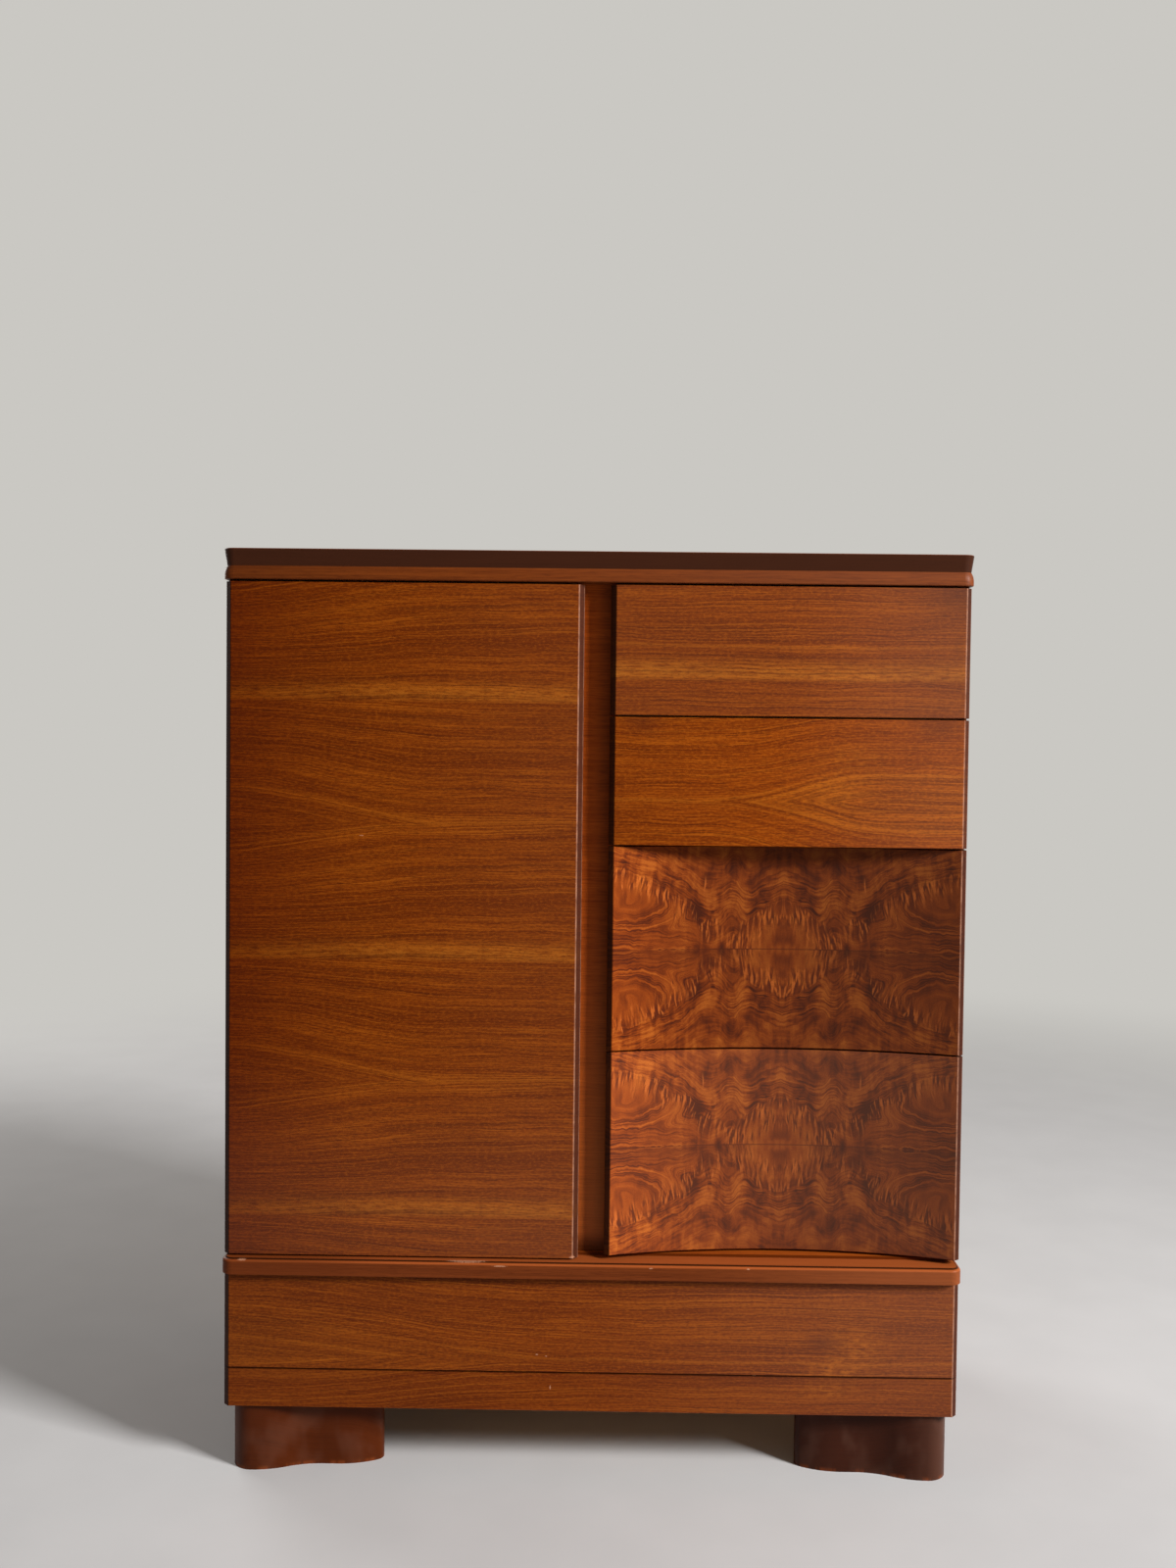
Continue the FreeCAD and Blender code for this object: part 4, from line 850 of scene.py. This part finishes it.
class Heads:
    """Screw and pin heads that move with one body, collected into one mesh. In millimetres."""

    def __init__(self):
        self.verts, self.faces, self.tones = [], [], []

    def cap(self, axes, points, low, high, taper, tone):
        """A flat piece over the outline points, from height low to high, tapered to its top."""
        centre, a, b, out = axes
        first, count = len(self.verts), len(points)
        for height, share in ((low, 1.0), (high, taper)):
            self.verts += [(centre + (a * u + b * v) * share + out * height) / 1000
                           for u, v in points]
        self.faces.append(tuple(range(first + count, first + 2 * count)))
        self.faces += [(first + i, first + (i + 1) % count, first + count + (i + 1) % count,
                        first + count + i) for i in range(count)]
        self.tones += [tone] * (count + 1)

    def axes(self, centre, out, turn):
        """The centre and three axes: along the slot, across it and outwards."""
        out = Vector(out)
        a = Vector((0, 1, 0)) if abs(out.x) > 0.5 else Vector((1, 0, 0))
        b = out.cross(a)
        return (Vector(centre), a * math.cos(turn) + b * math.sin(turn),
                b * math.cos(turn) - a * math.sin(turn), out)

    def screw(self, centre, out, radius, turn):
        """Countersunk head: two halves beside a dark slot, in a dark ring."""
        axes = self.axes(centre, out, turn)
        self.cap(axes, disc(radius + RING_WIDTH), 0.0, RING_RISE, 1.0, DARK)
        edge = math.asin(SLOT_SHARE)
        for half in (0, math.pi):
            angles = [half + edge + (math.pi - 2 * edge) * i / ARC for i in range(ARC + 1)]
            arc = [(radius * math.cos(angle), radius * math.sin(angle)) for angle in angles]
            self.cap(axes, arc, RING_RISE, HEAD_RISE, HEAD_TAPER, BRIGHT)

    def pin(self, centre, out, radius):
        """Domed head of a panel pin."""
        axes = self.axes(centre, out, 0.0)
        self.cap(axes, disc(radius), 0.0, 0.15, 0.85, BRIGHT)
        self.cap(axes, disc(radius * 0.85), 0.15, 0.3, 0.5, BRIGHT)

    def place(self, name, body, slot, materials):
        mesh = bpy.data.meshes.new(name)
        mesh.from_pydata(self.verts, [], self.faces)
        for material in materials:
            mesh.materials.append(material)
        mesh.polygons.foreach_set("material_index", self.tones)
        piece = bpy.data.objects.new(name, mesh)
        bpy.context.scene.collection.objects.link(piece)
        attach(piece, body)


def disc(radius):
    angles = [math.tau * i / CIRCLE for i in range(CIRCLE)]
    return [(radius * math.cos(angle), radius * math.sin(angle)) for angle in angles]


def hinge_screws(brass, dark):
    """Three screws in each hinge leaf, staggered."""
    axis_x = sum(span("hinge_pins", X)) / 2
    axis_y = sum(span("hinge_pins", Y)) / 2
    low = mm("hinge_pins", Z, 0) + HINGE_LENGTH / 2
    high = mm("hinge_pins", Z, 1) - HINGE_LENGTH / 2
    case, door = Heads(), Heads()
    for hinge in range(3):
        middle = low + (high - low) * hinge / 2
        for row, (shift, rise) in enumerate(LEAF_SCREWS):
            x, z, turn = axis_x + LEAF_MIDDLE + shift, middle + rise, 0.4 + 2.4 * (row + hinge)
            case.screw((x, axis_y + LEAF_FACE, z), (0, -1, 0), HINGE_SCREW, turn)
            door.screw((x, axis_y - LEAF_FACE, z), (0, 1, 0), HINGE_SCREW, turn + 0.7)
    case.place("hinge_screws_case", "carcase", "hinge_brass", (brass, dark))
    door.place("hinge_screws_door", "door", "hinge_brass", (brass, dark))


def catch_screws(steel, dark):
    """Two screws in the strike, two in the catch and two in each rod bracket."""
    strike, carcase = Heads(), Heads()
    x, y = sum(span("door_strike", X)) / 2, mm("door_strike", Y, 0) + STRIKE_PLATE
    for z in inset("door_strike", Z, STRIKE_INSET):
        strike.screw((x, y, z), (0, 1, 0), STRIKE_SCREW, 0.3 * z)
    x, y = mm("door_catch", X, 1) - CATCH_PLATE, sum(span("door_catch", Y)) / 2
    for z in inset("door_catch", Z, CATCH_INSET):
        carcase.screw((x, y, z), (-1, 0, 0), CATCH_SCREW, 0.3 * z)
    x, z = sum(span("rod_brackets", X)) / 2, mm("rod_brackets", Z, 1) - BRACKET_PLATE
    for y in inset("rod_brackets", Y, BRACKET_INSET):
        for side in (-BRACKET_SPREAD, BRACKET_SPREAD):
            carcase.screw((x + side, y, z), (0, 0, -1), BRACKET_SCREW, 0.2 * side)
    strike.place("strike_screws", "door", "plated_steel", (steel, dark))
    carcase.place("catch_and_bracket_screws", "carcase", "plated_steel", (steel, dark))


def panel_pins(steel, dark):
    """Pins along the edges of the back panels."""
    pins = Heads()
    for panel in ("back_panel_wardrobe", "back_panel_drawers", "base_back"):
        x0, x1 = inset(panel, X, PIN_INSET)
        z0, z1 = inset(panel, Z, PIN_INSET)
        y = mm(panel, Y, 1)
        across, up = round((x1 - x0) / PIN_SPACING), round((z1 - z0) / PIN_SPACING)
        places = {(x0 + (x1 - x0) * i / across, z) for i in range(across + 1) for z in (z0, z1)}
        places |= {(x, z0 + (z1 - z0) * i / up) for i in range(up + 1) for x in (x0, x1)}
        for x, z in sorted(places):
            pins.pin((x, y, z), (0, 1, 0), PANEL_PIN)
    pins.place("panel_pins", "carcase", "plated_steel", (steel, dark))


# ---------------------------------------------------------------- stage and light
STAGE_HALF = 12.0             # half the floor's width, in metres
BACKDROP = srgb(202, 200, 195)
FLOOR = (srgb(193, 193, 195), srgb(196, 196, 198))
AMBIENT = (0.20, 0.182, 0.16, 1.0)
FADE_NEAR, FADE_FAR = 1900.0, 4200.0   # where the floor turns into the backdrop, in millimetres


def make_floor():
    """Pale floor that turns into the backdrop with distance, like a studio's paper roll."""
    s = Shader("floor_paint")
    x, y, _ = s.position()
    blur = s.noise((x, 160), (y, 160), 0.0, 4.0)
    colour = s.ramp(blur, (0.35, FLOOR[0]), (0.65, FLOOR[1]))
    away = s.math("SQRT", s.add(s.mul(x, x), s.mul(y, y)))
    fade = s.mul(s.step(away, FADE_NEAR, FADE_FAR), s.shows_backdrop())
    s.feed(s.surface.inputs["Emission Color"], BACKDROP)
    s.feed(s.surface.inputs["Emission Strength"], fade)
    paper = s.finish(s.mix(fade, colour, (0.0, 0.0, 0.0, 1.0)), 0.8, gloss=0.0)
    mesh = bpy.data.meshes.new("floor")
    mesh.from_pydata([(-STAGE_HALF, -STAGE_HALF, 0), (STAGE_HALF, -STAGE_HALF, 0),
                      (STAGE_HALF, STAGE_HALF, 0), (-STAGE_HALF, STAGE_HALF, 0)],
                     [], [(0, 1, 2, 3)])
    mesh.materials.append(paper)
    piece = bpy.data.objects.new("floor", mesh)
    bpy.context.scene.collection.objects.link(piece)


def lamp(name, place, target, size, watts, tint, spread=180):
    data = bpy.data.lights.new(name, "AREA")
    data.shape = "RECTANGLE"
    data.size, data.size_y = size
    data.energy = watts
    data.color = tint
    data.spread = math.radians(spread)
    light = bpy.data.objects.new(name, data)
    bpy.context.scene.collection.objects.link(light)
    light.location = place
    aim = Vector(target) - Vector(place)
    light.rotation_euler = aim.to_track_quat("-Z", "Y").to_euler()


def make_light():
    lamp("window", place=(4.9, -3.3, 3.45), target=(0.0, 0.0, 0.3), size=(1.5, 1.7), watts=300,
         tint=(1.0, 0.985, 0.96), spread=120)
    lamp("fill", place=(-3.4, 3.6, 3.0), target=(0.0, 0.0, 0.5), size=(3.2, 3.2), watts=120,
         tint=(1.0, 0.98, 0.95))
    s = Shader("studio", bpy.data.worlds)
    background = s.nodes["Background"]
    s.feed(background.inputs["Color"], s.mix(s.shows_backdrop(), AMBIENT, BACKDROP))
    background.inputs["Strength"].default_value = 1.0
    bpy.context.scene.world = s.owner


# ---------------------------------------------------------------- the scene
make_camera()
dress_fronts()
dress_case()
dress_inside()
brass, steel, dark_metal = dress_metal()
hinge_screws(brass, dark_metal)
catch_screws(steel, dark_metal)
panel_pins(steel, dark_metal)
make_floor()
make_light()
bpy.context.scene.view_settings.view_transform = "Standard"
